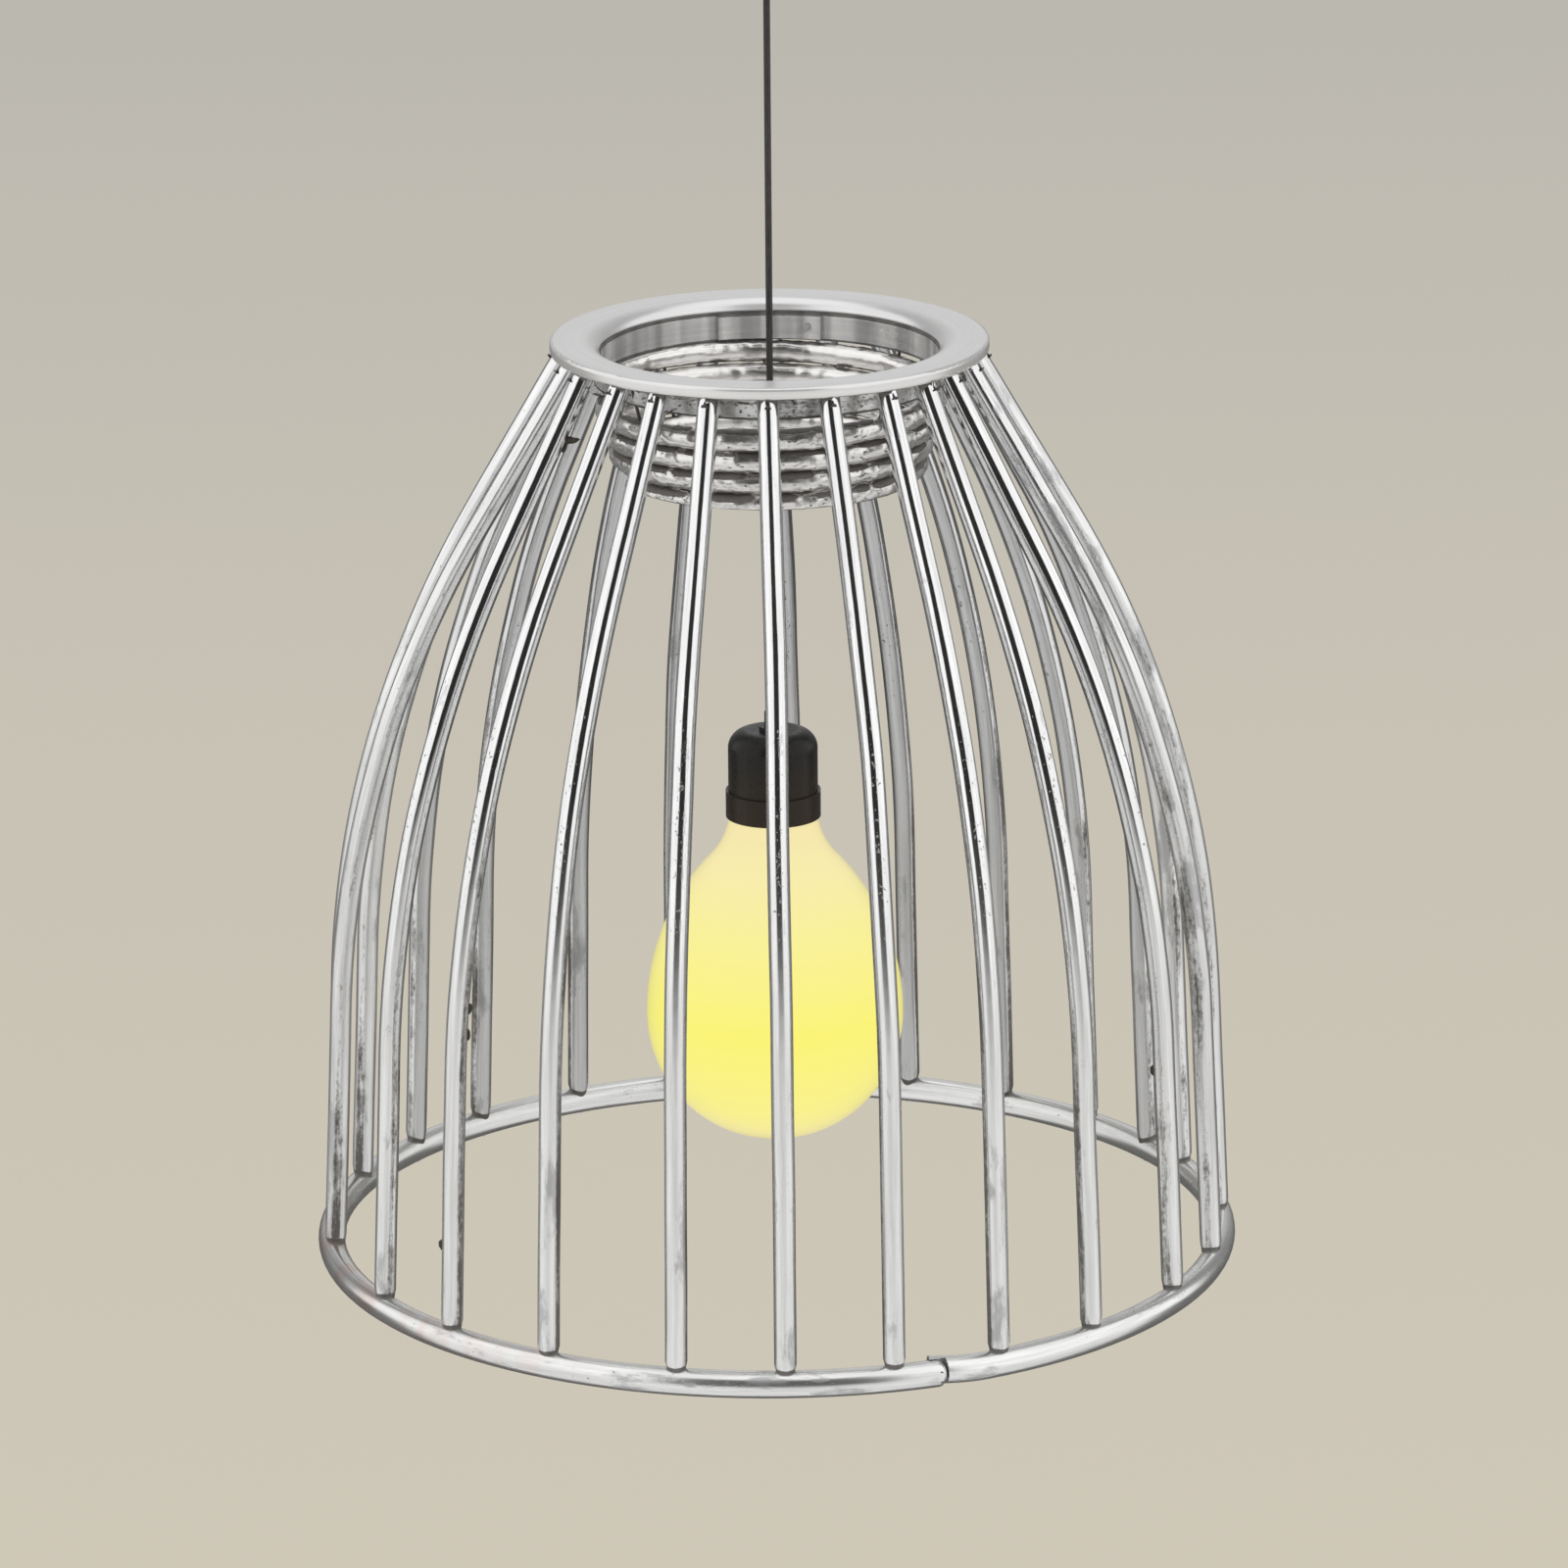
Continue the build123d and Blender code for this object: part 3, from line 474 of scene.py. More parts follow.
# Worn silver paint, shared by every cane and wooden piece: bright where it is whole, with
# streaks along the grain, dull grey patches, and dark specks where it has come off. Its grime
# input darkens it both for real crumbled paint and for painted shade in joints, corners,
# grooves and undersides.
PAINT_BRIGHT = (0.91, 0.91, 0.905)
PAINT_GREY = (0.40, 0.40, 0.405)
# The dark of bare cane, also used as the colour of the painted shade.
BARE_AND_SHADE_DARK = (0.08, 0.071, 0.064)
# Each grain's stretch along the cane, its scale and its detail.
STREAK_GRAIN = (0.035, 420.0, 5.0)
PATCH_GRAIN = (0.3, 75.0, 6.0)
SPECK_GRAIN = (0.6, 680.0, 3.0)

worn_silver = bpy.data.node_groups.new("worn_silver", "ShaderNodeTree")
worn_silver.interface.new_socket("Place", in_out="INPUT", socket_type="NodeSocketVector")
for label, value in (
    ("Dullness", 0.5), ("Wear", 0.3), ("Specks", 0.3), ("Streaks", 0.3), ("Grime and shade", 0.0), ("Seed", 0.0),
):
    socket = worn_silver.interface.new_socket(label, in_out="INPUT", socket_type="NodeSocketFloat")
    socket.default_value = value
worn_silver.interface.new_socket("Colour", in_out="OUTPUT", socket_type="NodeSocketColor")
for label in ("Roughness", "Metal", "Height"):
    worn_silver.interface.new_socket(label, in_out="OUTPUT", socket_type="NodeSocketFloat")
tree = worn_silver
given = tree.nodes.new("NodeGroupInput").outputs


def grain(stretch, scale, detail):
    """Noise over the paint, drawn out along the cane."""
    drawn = node(tree, "ShaderNodeMapping", {"Vector": given["Place"], "Scale": (1.0, 1.0, stretch)})
    return node(tree, "ShaderNodeTexNoise", {
        "Vector": drawn.outputs[0], "W": given["Seed"], "Scale": scale, "Detail": detail,
        "Roughness": 0.65,
    }, noise_dimensions="4D").outputs["Fac"]


def comes_off(noise, amount, edge, lowered, width):
    """1 where the noise is over an edge, which the amount has lowered, and else 0."""
    start = maths(tree, "SUBTRACT", edge, maths(tree, "MULTIPLY", amount, lowered))
    return rise(tree, noise, start, maths(tree, "ADD", start, width))


def summed(*shares, start=0.0, clamp=False):
    """A start, and each socket times its share."""
    total = start
    for value, share_of_it in shares:
        total = maths(tree, "ADD", total, maths(tree, "MULTIPLY", value, share_of_it), clamp)
    return total


streak = grain(*STREAK_GRAIN)
patch = grain(*PATCH_GRAIN)
speck = grain(*SPECK_GRAIN)
crumb = summed((patch, 0.4), (streak, 0.35), (speck, 0.25))
streaked = maths(tree, "MULTIPLY", rise(tree, streak, 0.38, 0.7), given["Streaks"])
worn = comes_off(patch, given["Wear"], edge=0.78, lowered=0.42, width=0.07)
specks = comes_off(speck, given["Specks"], edge=0.80, lowered=0.25, width=0.03)
# The grime mask: real crumbled paint, and painted shade where a caller asks for it.
grime_and_shade = comes_off(crumb, given["Grime and shade"], edge=0.80, lowered=0.42, width=0.1)
bare = maths(tree, "MAXIMUM", specks, grime_and_shade)
tone = mix(tree, streaked, PAINT_BRIGHT, PAINT_GREY)
tone = mix(tree, maths(tree, "MULTIPLY", worn, 0.6), tone, PAINT_GREY)
tone = mix(tree, maths(tree, "MULTIPLY", specks, 0.8), tone, BARE_AND_SHADE_DARK)
tone = mix(tree, maths(tree, "MULTIPLY", grime_and_shade, 0.85), tone, BARE_AND_SHADE_DARK)
node(tree, "NodeGroupOutput", {
    "Colour": tone,
    "Roughness": summed((given["Dullness"], 0.42), (worn, 0.2), (bare, 0.3), start=0.1, clamp=True),
    "Metal": summed((given["Dullness"], -0.4), (bare, -0.6), start=1.0, clamp=True),
    "Height": summed((streak, 0.35), (bare, -0.8), (worn, -0.25)),
})


def ease(tree, value, low, high):
    """A smooth rise from 0 at one value to 1 at another."""
    return node(tree, "ShaderNodeMapRange", {
        "Value": value, "From Min": low, "From Max": high,
    }, interpolation_type="SMOOTHSTEP").outputs[0]


def cane_place(tree):
    """Where a point is on its cane: its place for the paint, its section, and its run."""
    across = parts_of(tree, node(tree, "ShaderNodeAttribute", attribute_name="section").outputs["Vector"])
    run = node(tree, "ShaderNodeAttribute", attribute_name="along").outputs["Fac"]
    return joined(tree, X=across["X"], Y=across["Y"], Z=run), across, run


def ring_place(tree, radius, level):
    """The same for a ring about the lamp's axis, worked out from where the point is."""
    spot = object_spot(tree)
    turned = maths(tree, "ARCTAN2", spot["X"], maths(tree, "MULTIPLY", spot["Y"], -1.0))
    out = maths(tree, "SUBTRACT", off_axis(tree, spot), radius)
    up = maths(tree, "SUBTRACT", spot["Z"], level)
    run = maths(tree, "MULTIPLY", turned, radius)
    return joined(tree, X=out, Y=up, Z=run), {"X": out, "Y": up}, run


def silver_paint(name, place_of, values, bump=0.2, metal=1.0, tint=None, ripple=None):
    """A silver paint on one kind of piece. place_of gives its place, section and run.

    values holds the paint's inputs: each is a number, or a function of the tree, the section,
    the run and the level that gives a socket. tint colours it, and ripple adds to its relief,
    in the same way.
    """
    look = bpy.data.materials.new(name)
    look.use_nodes = True
    tree = look.node_tree
    bsdf = tree.nodes["Principled BSDF"]
    place, across, run = place_of(tree)
    level = object_spot(tree)["Z"]
    paint = node(tree, "ShaderNodeGroup", node_tree=worn_silver)
    tree.links.new(place, paint.inputs["Place"])
    for label, value in values.items():
        if callable(value):
            tree.links.new(value(tree, across, run, level), paint.inputs[label])
        else:
            paint.inputs[label].default_value = value
    colour = paint.outputs["Colour"]
    if callable(tint):
        colour = mix(tree, 1.0, colour, tint(tree, across, run, level), blend="MULTIPLY")
    elif tint:
        colour = mix(tree, 1.0, colour, tint, blend="MULTIPLY")
    tree.links.new(colour, bsdf.inputs["Base Color"])
    tree.links.new(paint.outputs["Roughness"], bsdf.inputs["Roughness"])
    tree.links.new(maths(tree, "MULTIPLY", paint.outputs["Metal"], metal), bsdf.inputs["Metallic"])
    height = paint.outputs["Height"]
    if ripple:
        height = maths(tree, "ADD", height, ripple(tree, across, run, level))
    relief = node(tree, "ShaderNodeBump", {"Height": height, "Strength": bump, "Distance": 0.0006})
    tree.links.new(relief.outputs[0], bsdf.inputs["Normal"])
    return look


def falls(low, high, at_low, at_high):
    """A value that changes with the level between two heights."""
    return lambda tree, across, run, level: rise(tree, level, low, high, at_low, at_high)


# How the ribs' paint is worn, and where shade is painted on them. The sides' darkening, worn paint
# and painted shade along the canes' edges, is given at two levels. Each other pair is a level, a depth
# or a share of the cane's half thickness where a kind of wear or painted shade starts and where it is
# full.
WHITE = (1.0, 1.0, 1.0)
SIDES_DARK_Z = (-0.62, -0.28)
SIDES_DARK = (0.78, 0.55)
SIDE_EDGE = (0.76, 1.0)
FRONT_OR_BACK_Y = (0.1, 0.21)
FRONT_OR_BACK_MORE = 0.35
IN_FRONT_Y = (0.02, -0.08)
INNER_SIDE = (0.0, 0.5)
INNER_DARK = 0.8
INNER_GREY = (0.1, 0.75)
INSIDE_SHADE = 0.63
SIDE_INSIDE_SHADE = 0.9
# Painted shade where the ribs meet the top ring and the foot ring: its reach and how dark it is.
TOP_JOINT_SHADE = (0.0016, 0.00064)
FOOT_JOINT_SHADE = (0.0024, 0.0008)
JOINT_SHADE = 1.5
PITS_FROM_Z = (-0.29, -0.39)
PITS_TO_Z = (-0.49, -0.41)
PITS_EDGE = (1.0, 0.1)
PITS_FEW = 0.26
PITS_MORE = 0.55
SIDE_RIB_GRIME = 0.04


def rib_sideways(tree, across):
    """How far a point is towards the cane's sides, from 0 to 1."""
    return maths(tree, "DIVIDE", maths(tree, "ABSOLUTE", across["X"]), RIB_R)


def rib_inward(tree, across):
    """How far a point is towards the cane's inner side, from -1 to 1."""
    return maths(tree, "DIVIDE", across["Y"], RIB_R)


def rib_grime_and_shade(tree, across, run, level):
    """Dark crumbled paint on the sides, also painted shade along the canes' rounded edges, more on
    the front ribs' inner sides, and painted shade where the ribs meet the rings.

    The sides are darker low down, and on the ribs at the lamp's front and back.
    """
    depth = object_spot(tree)["Y"]
    sides = ease(tree, rib_sideways(tree, across), *SIDE_EDGE)
    sides = maths(tree, "MULTIPLY", sides, rise(tree, level, *SIDES_DARK_Z, *SIDES_DARK))
    at_front_or_back = ease(tree, maths(tree, "ABSOLUTE", depth), *FRONT_OR_BACK_Y)
    more = maths(tree, "ADD", 1.0, maths(tree, "MULTIPLY", at_front_or_back, FRONT_OR_BACK_MORE))
    sides = maths(tree, "MULTIPLY", sides, more)
    inner = ease(tree, rib_inward(tree, across), *INNER_SIDE)
    inner = maths(tree, "MULTIPLY", inner, ease(tree, depth, *IN_FRONT_Y))
    sides = maths(tree, "MAXIMUM", sides, maths(tree, "MULTIPLY", inner, INNER_DARK))
    from_foot = node(tree, "ShaderNodeAttribute", attribute_name="from_end").outputs["Fac"]
    foot_joint_shade = ease(tree, from_foot, *FOOT_JOINT_SHADE)
    joint_shade = maths(tree, "MAXIMUM", ease(tree, run, *TOP_JOINT_SHADE), foot_joint_shade)
    return maths(tree, "MAXIMUM", sides, maths(tree, "MULTIPLY", joint_shade, JOINT_SHADE))


def rib_inside(shade):
    """The inner side, greyed to that shade."""
    def tint(tree, across, run, level):
        inner = ease(tree, rib_inward(tree, across), *INNER_GREY)
        return mix(tree, inner, WHITE, (shade, shade, shade))
    return tint


def rib_pits(tree, across, run, level):
    """Pitted paint about the knee, where the gloss breaks up; few pits elsewhere."""
    pitted = maths(tree, "MULTIPLY", ease(tree, level, *PITS_FROM_Z), ease(tree, level, *PITS_TO_Z))
    off_sides = ease(tree, rib_sideways(tree, across), *PITS_EDGE)
    pitted = maths(tree, "MULTIPLY", pitted, off_sides)
    return maths(tree, "ADD", PITS_FEW, maths(tree, "MULTIPLY", pitted, PITS_MORE))


def rib_side_grime_and_shade(tree, across, run, level):
    """The same on the ribs at the lamp's sides, which are rubbed all over."""
    return maths(tree, "ADD", rib_grime_and_shade(tree, across, run, level), SIDE_RIB_GRIME)


# Four paints for most ribs, and two for those within some degrees of the lamp's left and right.
# They are taken in turn, each with its own seed, so that no two neighbours are worn alike.
SIDE_RIBS_WITHIN = 22
SEED_STEP = 3.7
SIDE_SEED = 11.3
SHAPE_SEED_STEP = 1.7

rib_looks = []
for number in range(4):
    rib_looks.append(silver_paint(f"silver_rib_{number + 1}", cane_place, {
        "Streaks": 0.4,
        "Seed": SEED_STEP * number,
        "Dullness": falls(-0.52, -0.38, 0.4, 0.02),
        "Specks": rib_pits,
        "Wear": falls(-0.62, -0.22, 0.56, 0.3),
        "Grime and shade": rib_grime_and_shade,
    }, bump=0.3, tint=rib_inside(INSIDE_SHADE)))
side_looks = []
for number in range(2):
    side_looks.append(silver_paint(f"silver_side_rib_{number + 1}", cane_place, {
        "Streaks": 0.6,
        "Seed": SIDE_SEED + SEED_STEP * number,
        "Dullness": falls(-0.46, -0.26, 0.45, 0.06),
        "Specks": 0.42,
        "Wear": 0.56,
        "Grime and shade": rib_side_grime_and_shade,
    }, bump=0.4, tint=rib_inside(SIDE_INSIDE_SHADE)))

ribs = []
knee_share = (RIB_KNEE_R - RIB_TOP_R) / (RIB_FOOT_R - RIB_TOP_R)
for number, (top_angle, foot_angle) in enumerate(zip(RIB_TOP_ANGLES, RIB_FOOT_ANGLES), start=1):
    top = polar(RIB_TOP_R, top_angle, RIB_TOP_Z)
    foot = polar(RIB_FOOT_R, foot_angle, RIB_FOOT_Z)
    knee = top + (foot - top) * knee_share
    knee.z = RIB_KNEE_Z
    name = f"cane_rib_{number:02d}"
    off_front = abs((foot_angle + 180) % 360 - 180)
    looks = side_looks if abs(off_front - 90) < SIDE_RIBS_WITHIN else rib_looks
    rib = grow(name, poly_line(name, (top, knee, foot)), rib_tree, {
        "Waviness": RIB_WAVINESS, "Seed": number * SHAPE_SEED_STEP, "Paint": looks[number % len(looks)],
    })
    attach(rib, "root")
    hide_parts(f"rib_{number:02d}")
    ribs.append(rib)

# Burrs: stubs of bark and split fibres on five spots of three ribs, where the paint is gone.
# Each has its rib's number, level, side (-1 left), how far it stands off, its half thickness,
# its length along the cane as a share of that, and how far it points down or up.
BURRS = (
    (2, -0.2435, 1, 0.0062, 0.0015, 1.3, -0.2),
    (2, -0.2465, 1, 0.0016, 0.0014, 2.4, 0.0),
    (3, -0.4915, 1, 0.0016, 0.0016, 1.9, 0.0),
    (3, -0.5035, 1, 0.0013, 0.0013, 2.6, 0.3),
    (3, -0.6065, -1, 0.0014, 0.0014, 2.5, -0.3),
    (10, -0.5385, -1, 0.0018, 0.0014, 1.8, 0.5),
)
BURR_RINGS = 7
BURR_SIDES = 9
BURR_SUNK = 0.0012
BURR_FORWARD = 0.25
BURR_CURL = 0.3
BURR_TAPER = 1.6
BURR_TIP = 0.00006
BURR_LOBES = 3
BURR_TWIST = 5
BURR_UNEVEN = 0.16
BURR_FLAT = 0.8
BURR_NEAR = 0.002


def burr_ring(shape, middle, width, up_way, level_way, phase):
    """One uneven ring of a burr's points."""
    ring = []
    for step in range(BURR_SIDES):
        angle = 2 * pi * step / BURR_SIDES
        rough = width * (1 + BURR_UNEVEN * sin(BURR_LOBES * angle + phase))
        ring.append(shape.verts.new(
            middle + up_way * (rough * cos(angle)) + level_way * (BURR_FLAT * rough * sin(angle))
        ))
    return ring


def add_burr(shape, number, level, side, stand, thick, tall, droop):
    """A burr on a rib's side, from a sunk foot to a thin tip."""
    near = [point.co for point in ribs[number - 1].data.vertices if abs(point.co.z - level) < BURR_NEAR]
    foot = max(near, key=lambda spot: side * spot.x).copy()
    out = Vector((side, -BURR_FORWARD, droop)).normalized()
    upright = (Vector((0, 0, 1)) - out * out.z).normalized()
    rings = []
    for step in range(BURR_RINGS):
        reach = step / (BURR_RINGS - 1)
        middle = foot + out * (reach * (stand + BURR_SUNK) - BURR_SUNK)
        middle += upright * (BURR_CURL * stand * reach * reach)
        width = thick * sqrt(max(0.0, 1 - reach ** BURR_TAPER)) + BURR_TIP
        phase = BURR_TWIST * reach + number
        rings.append(burr_ring(shape, middle, width, upright * tall, out.cross(upright), phase))
    for lower_ring, upper_ring in zip(rings, rings[1:]):
        for step in range(BURR_SIDES):
            after = (step + 1) % BURR_SIDES
            shape.faces.new((lower_ring[step], lower_ring[after], upper_ring[after], upper_ring[step]))
    shape.faces.new(list(reversed(rings[0])))
    shape.faces.new(rings[-1])


def plain_look(name, colour, rough, metal=0.0, marks=500.0, spread=0.25, bump=0.1):
    """A one-colour finish with fine marks: its tone and gloss vary a little over the surface."""
    look = bpy.data.materials.new(name)
    look.use_nodes = True
    tree = look.node_tree
    bsdf = tree.nodes["Principled BSDF"]
    noise = node(tree, "ShaderNodeTexNoise", {
        "Vector": node(tree, "ShaderNodeTexCoord").outputs["Object"],
        "Scale": marks, "Detail": 5.0, "Roughness": 0.6,
    }).outputs["Fac"]
    dark = tuple(part * (1 - spread) for part in colour)
    light = tuple(min(1.0, part * (1 + spread)) for part in colour)
    tree.links.new(ramp(tree, noise, ((0.3, dark), (0.7, light))), bsdf.inputs["Base Color"])
    low, high = max(0.02, rough - 0.1), min(1.0, rough + 0.12)
    tree.links.new(ramp(tree, noise, ((0.3, low), (0.75, high))), bsdf.inputs["Roughness"])
    bsdf.inputs["Metallic"].default_value = metal
    relief = node(tree, "ShaderNodeBump", {"Height": noise, "Strength": bump, "Distance": 0.0003})
    tree.links.new(relief.outputs[0], bsdf.inputs["Normal"])
    return look


burr_shape = bmesh.new()
for burr in BURRS:
    add_burr(burr_shape, *burr)
bmesh.ops.recalc_face_normals(burr_shape, faces=burr_shape.faces)
for face in burr_shape.faces:
    face.smooth = len(face.verts) == 4
burr_mesh = bpy.data.meshes.new("bark_burrs")
burr_shape.to_mesh(burr_mesh)
burr_shape.free()
burrs = bpy.data.objects.new("bark_burrs", burr_mesh)
scene.collection.objects.link(burrs)
bark_look = plain_look("bare_bark", (0.05, 0.042, 0.034), 0.6, marks=900.0, spread=0.6, bump=0.4)
burr_mesh.materials.append(bark_look)
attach(burrs, "root")


# Brads and collar nails: thin nails of dark steel. One brad slants through each rib's top into
# the ring, two pin the foot ring's lap, and four nails hold the collar up to the neck band.
def dress(material, *names):
    """Gives the frame's own pieces a finish."""
    for name in names:
        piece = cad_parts[name]
        piece.data.materials.clear()
        piece.data.materials.append(material)


dark_steel = plain_look("dark_steel_brads", (0.09, 0.085, 0.085), 0.45, metal=0.9, marks=1200.0)
dress(dark_steel, "rib_top_brads", "lap_brads", "collar_nails")

# Foot ring: a thicker cane bent to a circle. Its right end rises a little and is shaved to a
# thin tongue behind the left end, and brads hold the two. The same paint, with painted shade
# underneath and a brown cast on the left.
FOOT_SHADE_FROM = 0.75
FOOT_SHADE = 0.7
FOOT_CAST = (0.98, 0.86, 0.82)
# The runs round the ring, from its front, between which the cast comes in and goes out.
FOOT_CAST_IN = (-0.05, -0.2)
FOOT_CAST_OUT = (-0.42, -0.34)


def foot_ring_place(tree):
    """Where a point is on the foot ring."""
    return ring_place(tree, FOOT_RING_R, FOOT_RING_Z)


def foot_ring_underside_shade(tree, across, run, level):
    """Painted shade on the underside."""
    below = maths(tree, "DIVIDE", maths(tree, "MULTIPLY", across["Y"], -1.0), FOOT_ROD_R)
    return maths(tree, "MULTIPLY", ease(tree, below, FOOT_SHADE_FROM, 1.0), FOOT_SHADE)


def foot_ring_tint(tree, across, run, level):
    """A brownish cast in patches, on the left of the ring."""
    leftward = maths(tree, "MULTIPLY", ease(tree, run, *FOOT_CAST_IN), ease(tree, run, *FOOT_CAST_OUT))
    patchy = node(tree, "ShaderNodeTexNoise", {
        "W": run, "Scale": 40.0, "Detail": 2.0,
    }, noise_dimensions="1D").outputs["Fac"]
    cast = maths(tree, "MULTIPLY", leftward, ease(tree, patchy, 0.42, 0.6))
    return mix(tree, cast, WHITE, FOOT_CAST)


dress(silver_paint("silver_foot_ring", foot_ring_place, {
    "Dullness": 0.3, "Specks": 0.5, "Streaks": 0.42, "Wear": 0.45, "Grime and shade": foot_ring_underside_shade,
}, bump=0.3, tint=foot_ring_tint), "foot_ring")

# Bright steel, zinc plated: the nails in the ribs' feet, the band's pin, the crossbar that
# carries the shade with its screws, tube and nuts, and the strap and screws of the ceiling cup.
bright_steel = plain_look("zinc_steel", (0.62, 0.62, 0.63), 0.3, metal=1.0, marks=900.0, spread=0.15)
dress(bright_steel, "foot_nails", "lap_pin", "crossbar", "crossbar_screws", "bar_nipple", "nipple_nuts",
      "cord_grip_screw", "holder_gland_screw", "cup_screws", "cup_gland_screw", "cup_bracket")

# Top ring: turned from one board, flat above and rolled down to the hole, sanded smooth
# and given the thickest, palest coat.
TOP_RING_MID_R = 0.0929
TOP_RING_MID_Z = -0.208
# Painted shade along the ring's underside edge: where it starts, where it is full, and how dark.
UNDERSIDE_SHADE_FROM = 0.0008
UNDERSIDE_SHADE_FULL = 0.0001
UNDERSIDE_SHADE = 1.4


def top_ring_place(tree):
    """Where a point is on the top ring."""
    return ring_place(tree, TOP_RING_MID_R, TOP_RING_MID_Z)


def top_ring_underside_shade(tree, across, run, level):
    """Painted shade: a dark line where the underside meets the ribs and the band."""
    under = ease(tree, level, RIB_TOP_Z + UNDERSIDE_SHADE_FROM, RIB_TOP_Z + UNDERSIDE_SHADE_FULL)
    return maths(tree, "MULTIPLY", under, UNDERSIDE_SHADE)


dress(silver_paint("silver_top_ring", top_ring_place, {
    "Dullness": 0.3, "Specks": 0.15, "Streaks": 0.14, "Wear": 0.15, "Grime and shade": top_ring_underside_shade,
}, bump=0.08, metal=0.5, tint=(0.975, 0.975, 0.99)), "top_ring")

# Neck band: a thin strip of wood bent under the ring's inside edge, its ends lapped at the
# back and pinned. Its paint is uneven, in upright facets.
BAND_MID_R = 0.082
BAND_TOP_Z = -0.211
BAND_LOW_Z = -0.225
BAND_THICK = 0.0034
BAND_CRUMBLED = 0.66
# Painted shade in the band's corners, under the ring and over the collar.
BAND_CORNER_SHADE = 1.3
# The levels where each corner's dark line starts and is full.
BAND_UPPER_CORNER = (BAND_TOP_Z - 0.003, BAND_TOP_Z - 0.0008)
BAND_LOWER_CORNER = (BAND_LOW_Z + 0.002, BAND_LOW_Z + 0.0004)
BAND_SPECKS_IN = 0.3
BAND_SPECKS_OUT = 0.55
BAND_FLAT_TONE = (0.62, 0.62, 0.63)
BAND_FLAT_DEPTH = 3.0


def band_place(tree):
    """Where a point is on the band."""
    return ring_place(tree, BAND_MID_R, (BAND_TOP_Z + BAND_LOW_Z) / 2)


def band_facets(tree, run):
    """Flats left by the drawknife, upright and uneven in width."""
    return node(tree, "ShaderNodeTexNoise", {
        "W": run, "Scale": 75.0, "Detail": 1.5, "Roughness": 0.4,
    }, noise_dimensions="1D").outputs["Fac"]


def band_outside(tree, across):
    """1 on the band's outer face, which was left rough, else 0."""
    return ease(tree, across["X"], BAND_THICK * 0.2, BAND_THICK * 0.4)


def band_specks(tree, across, run, level):
    """Bark and flaked paint on the rough outer face, few specks inside."""
    outside = maths(tree, "MULTIPLY", band_outside(tree, across), BAND_SPECKS_OUT)
    return maths(tree, "ADD", BAND_SPECKS_IN, outside)


def band_tint(tree, across, run, level):
    """The flats are a little darker than what lies between them."""
    return mix(tree, ease(tree, band_facets(tree, run), 0.38, 0.62), WHITE, BAND_FLAT_TONE)


def band_ripple(tree, across, run, level):
    """The relief of the flats."""
    return maths(tree, "MULTIPLY", band_facets(tree, run), BAND_FLAT_DEPTH)


def band_shade_and_crumble(tree, across, run, level):
    """Painted shade as dark lines in both corners, under the ring and over the collar, and a crumbled
    outer face.
    """
    upper = ease(tree, level, *BAND_UPPER_CORNER)
    lower = ease(tree, level, *BAND_LOWER_CORNER)
    corner_shade = maths(tree, "MULTIPLY", maths(tree, "MAXIMUM", upper, lower), BAND_CORNER_SHADE)
    crumbled = maths(tree, "MULTIPLY", band_outside(tree, across), BAND_CRUMBLED)
    return maths(tree, "MAXIMUM", corner_shade, crumbled)


dress(silver_paint("silver_neck_band", band_place, {
    "Dullness": 0.4, "Specks": band_specks, "Streaks": 0.35, "Wear": 0.4, "Grime and shade": band_shade_and_crumble,
}, bump=0.5, metal=0.75, tint=band_tint, ripple=band_ripple), "neck_band")

# Collar: one cane wound down under the band, just under four turns, each a little smaller.
# Its first end is shaved flat under the band, and its last turn level at the bottom. The
# paint is rough over the bark, and the grooves between the turns carry painted shade in dark brown.
COIL_R = 0.00555
COIL_START_R = 0.0803
COIL_TOP_Z = -0.2251
COIL_BOTTOM_Z = -0.271
COIL_PITCH = 0.0108
COIL_TAPER = 0.0031
COIL_FROM = -0.25
COIL_TO = 3.694
COIL_STEPS = 420
COIL_MESH_STEP = 0.0016
COIL_LUMPS = 0.0022
COIL_LUMP_SCALE = 170.0
COIL_SEED = 5.0
# Painted shade in the grooves: where it starts and is full across the cane, and its share on the inner
# side.
GROOVE_FROM = 0.5
GROOVE_FULL = 0.95
GROOVE_INNER = 0.5
BARK_SPECKS_IN = 0.25
BARK_SPECKS_OUT = 0.55

collar_tree = new_tree("collar_from_cane", (
    ("Cane radius", COIL_R), ("Top level", COIL_TOP_Z), ("Bottom level", COIL_BOTTOM_Z),
    ("Lumps", COIL_LUMPS), ("Seed", COIL_SEED),
), ("Paint",))
tree = collar_tree
given = tree.nodes.new("NodeGroupInput").outputs
cane = node(tree, "GeometryNodeGroup", node_tree=cane_tree)
for label in ("Geometry", "Cane radius", "Lumps", "Seed", "Paint"):
    tree.links.new(given[label], cane.inputs[label])
cane.inputs["Step"].default_value = COIL_MESH_STEP
cane.inputs["Lump scale"].default_value = COIL_LUMP_SCALE
spot = parts_of(tree, node(tree, "GeometryNodeInputPosition").outputs[0])
trimmed = maths(tree, "MAXIMUM", spot["Z"], given["Bottom level"])
trimmed = maths(tree, "MINIMUM", trimmed, given["Top level"])
shaved = node(tree, "GeometryNodeSetPosition", {
    "Geometry": cane.outputs[0], "Position": joined(tree, X=spot["X"], Y=spot["Y"], Z=trimmed),
}).outputs[0]
node(tree, "NodeGroupOutput", {"Geometry": shaved})


def collar_outside(tree, across):
    """1 on the side of the collar's cane that faces away from the lamp's axis, else 0."""
    return ease(tree, maths(tree, "DIVIDE", across["X"], COIL_R), 0.3, -0.3)


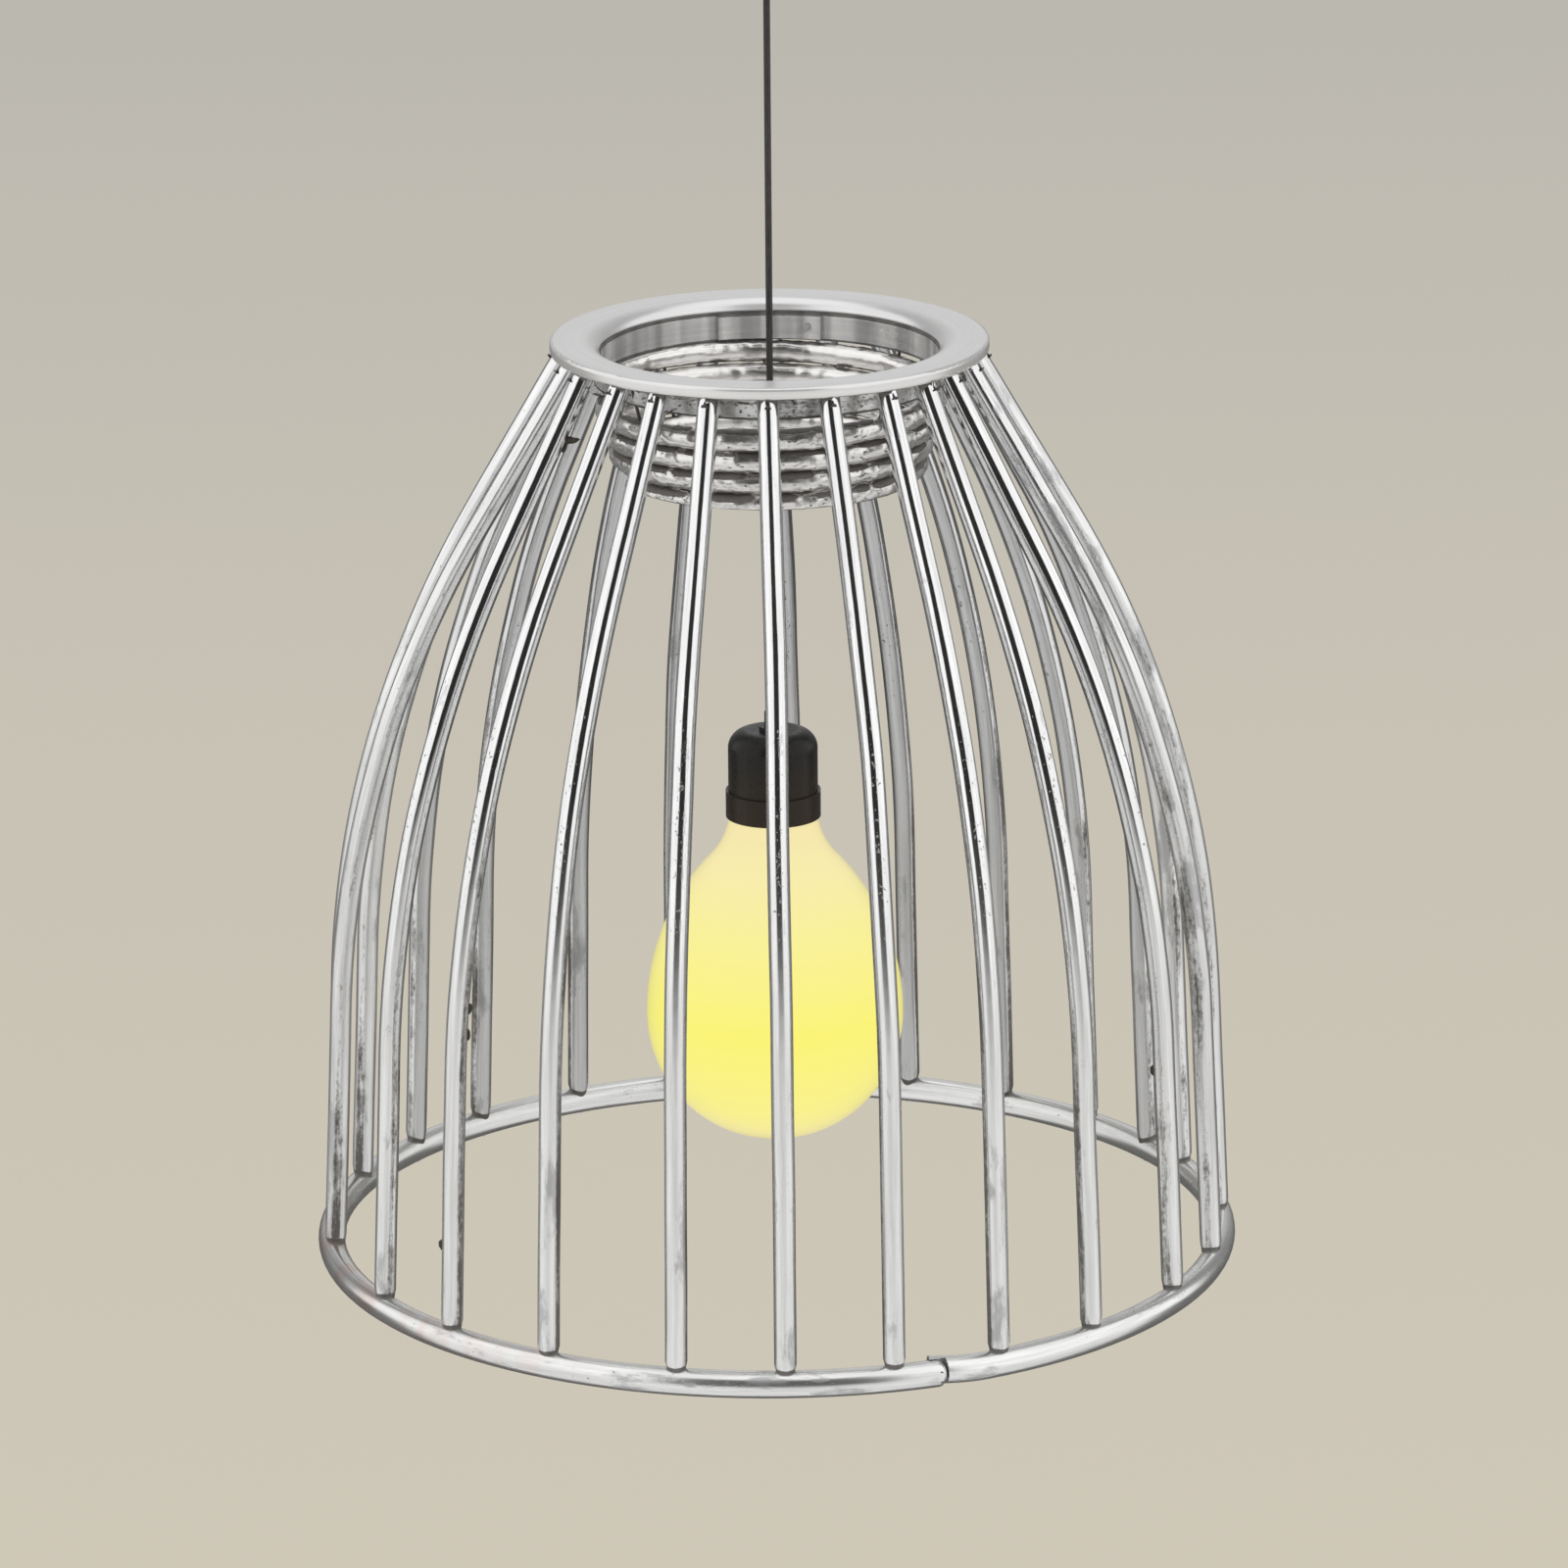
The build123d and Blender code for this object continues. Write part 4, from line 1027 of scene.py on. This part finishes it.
def groove_shade(tree, across, run, level):
    """Painted shade in the grooves between the turns, broken along their length and half as much inside.
    """
    upright = maths(tree, "DIVIDE", maths(tree, "ABSOLUTE", across["Y"]), COIL_R)
    broken = node(tree, "ShaderNodeTexNoise", {
        "W": run, "Scale": 55.0, "Detail": 2.0,
    }, noise_dimensions="1D").outputs["Fac"]
    depth = rise(tree, broken, 0.35, 0.65, at_low=0.7, at_high=2.0)
    grooves = maths(tree, "MULTIPLY", ease(tree, upright, GROOVE_FROM, GROOVE_FULL), depth)
    outside = maths(tree, "MULTIPLY", collar_outside(tree, across), 1 - GROOVE_INNER)
    return maths(tree, "MULTIPLY", grooves, maths(tree, "ADD", GROOVE_INNER, outside))


def bark_specks(tree, across, run, level):
    """Bark breaking through on the outer side; the inner side was rubbed smooth."""
    outside = maths(tree, "MULTIPLY", collar_outside(tree, across), BARK_SPECKS_OUT)
    return maths(tree, "ADD", BARK_SPECKS_IN, outside)


collar_look = silver_paint("silver_collar", cane_place, {
    "Dullness": 0.25, "Specks": bark_specks, "Streaks": 0.3, "Wear": 0.32, "Grime and shade": groove_shade,
}, bump=1.0, tint=(1.0, 0.98, 0.96))
coil_points = []
for step in range(COIL_STEPS + 1):
    turns = COIL_FROM + (COIL_TO - COIL_FROM) * step / COIL_STEPS
    radius = COIL_START_R - COIL_TAPER * turns
    coil_points.append(polar(radius, 180 - 360 * turns, COIL_TOP_Z - COIL_R - COIL_PITCH * turns))
collar = grow("cane_collar", poly_line("cane_collar", coil_points), collar_tree, {"Paint": collar_look})
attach(collar, "root")
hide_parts("collar_coil")

# Cord grips, the holder and the cup's gland: black mouldings, half gloss, the holder turning
# brown towards its rim.
HOLDER_BROWN = (0.03, 0.02, 0.011)
holder_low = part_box("holder_shell")[0].z
holder_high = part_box("holder_cap")[1].z

black_moulding = plain_look("black_moulding", (0.016, 0.0155, 0.015), 0.36, marks=700.0)
dress(black_moulding, "cord_grip", "cup_gland", "holder_gland")

holder_look = plain_look("black_holder", (0.012, 0.011, 0.01), 0.3, marks=420.0, bump=0.04)
tree = holder_look.node_tree
holder_bsdf = tree.nodes["Principled BSDF"]
holder_bsdf.inputs["Specular IOR Level"].default_value = 0.28
holder_black = holder_bsdf.inputs["Base Color"].links[0].from_socket
rim_brown = ease(tree, object_spot(tree)["Z"], holder_high, holder_low)
tree.links.new(mix(tree, rim_brown, holder_black, HOLDER_BROWN), holder_bsdf.inputs["Base Color"])
dress(holder_look, "holder_cap", "holder_shell")

# Socket inside: a glazed pale insert with a brass sleeve, a spring contact and terminal screws.
# The block in the ceiling cup has the same glaze.
dress(plain_look("pale_glaze", (0.8, 0.78, 0.73), 0.2, marks=160.0, spread=0.06),
      "socket_insert", "terminal_block")
dress(plain_look("brass", (0.78, 0.6, 0.28), 0.28, metal=1.0, marks=900.0, spread=0.12),
      "thread_sleeve", "centre_contact", "terminal_screws")

# Bulb: a big opal globe with a pear shoulder, lit. It glows yellow, deepest about the middle of
# the globe and paler towards its foot and its neck.
GLOW_LOW_Z = -0.6045
GLOW_HIGH_Z = -0.442
GLOW_TONES = (
    (0.0, (0.98, 0.88, 0.40)), (0.16, (0.99, 0.91, 0.27)), (0.42, (0.995, 0.935, 0.18)),
    (0.66, (0.985, 0.91, 0.30)), (0.86, (0.97, 0.87, 0.42)), (1.0, (0.95, 0.82, 0.43)),
)

bulb_look = bpy.data.materials.new("opal_glass_lit")
bulb_look.use_nodes = True
tree = bulb_look.node_tree
glass = tree.nodes["Principled BSDF"]
glow = ramp(tree, rise(tree, object_spot(tree)["Z"], GLOW_LOW_Z, GLOW_HIGH_Z), GLOW_TONES)
glass.inputs["Base Color"].default_value = (0.03, 0.03, 0.025, 1)
glass.inputs["Roughness"].default_value = 0.5
glass.inputs["Specular IOR Level"].default_value = 0.05
glass.inputs["Sheen Weight"].default_value = 1.0
glass.inputs["Sheen Roughness"].default_value = 0.35
glass.inputs["Sheen Tint"].default_value = (1.0, 0.92, 0.75, 1)
tree.links.new(glow, glass.inputs["Emission Color"])
glass.inputs["Emission Strength"].default_value = 0.95
dress(bulb_look, "bulb")
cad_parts["bulb"].visible_glossy = False

# Ceiling cup: a pressed steel cup in satin black paint, held against the ceiling by two screws
# through its strap.
dress(plain_look("satin_black_paint", (0.028, 0.028, 0.028), 0.38, marks=380.0), "ceiling_cup")
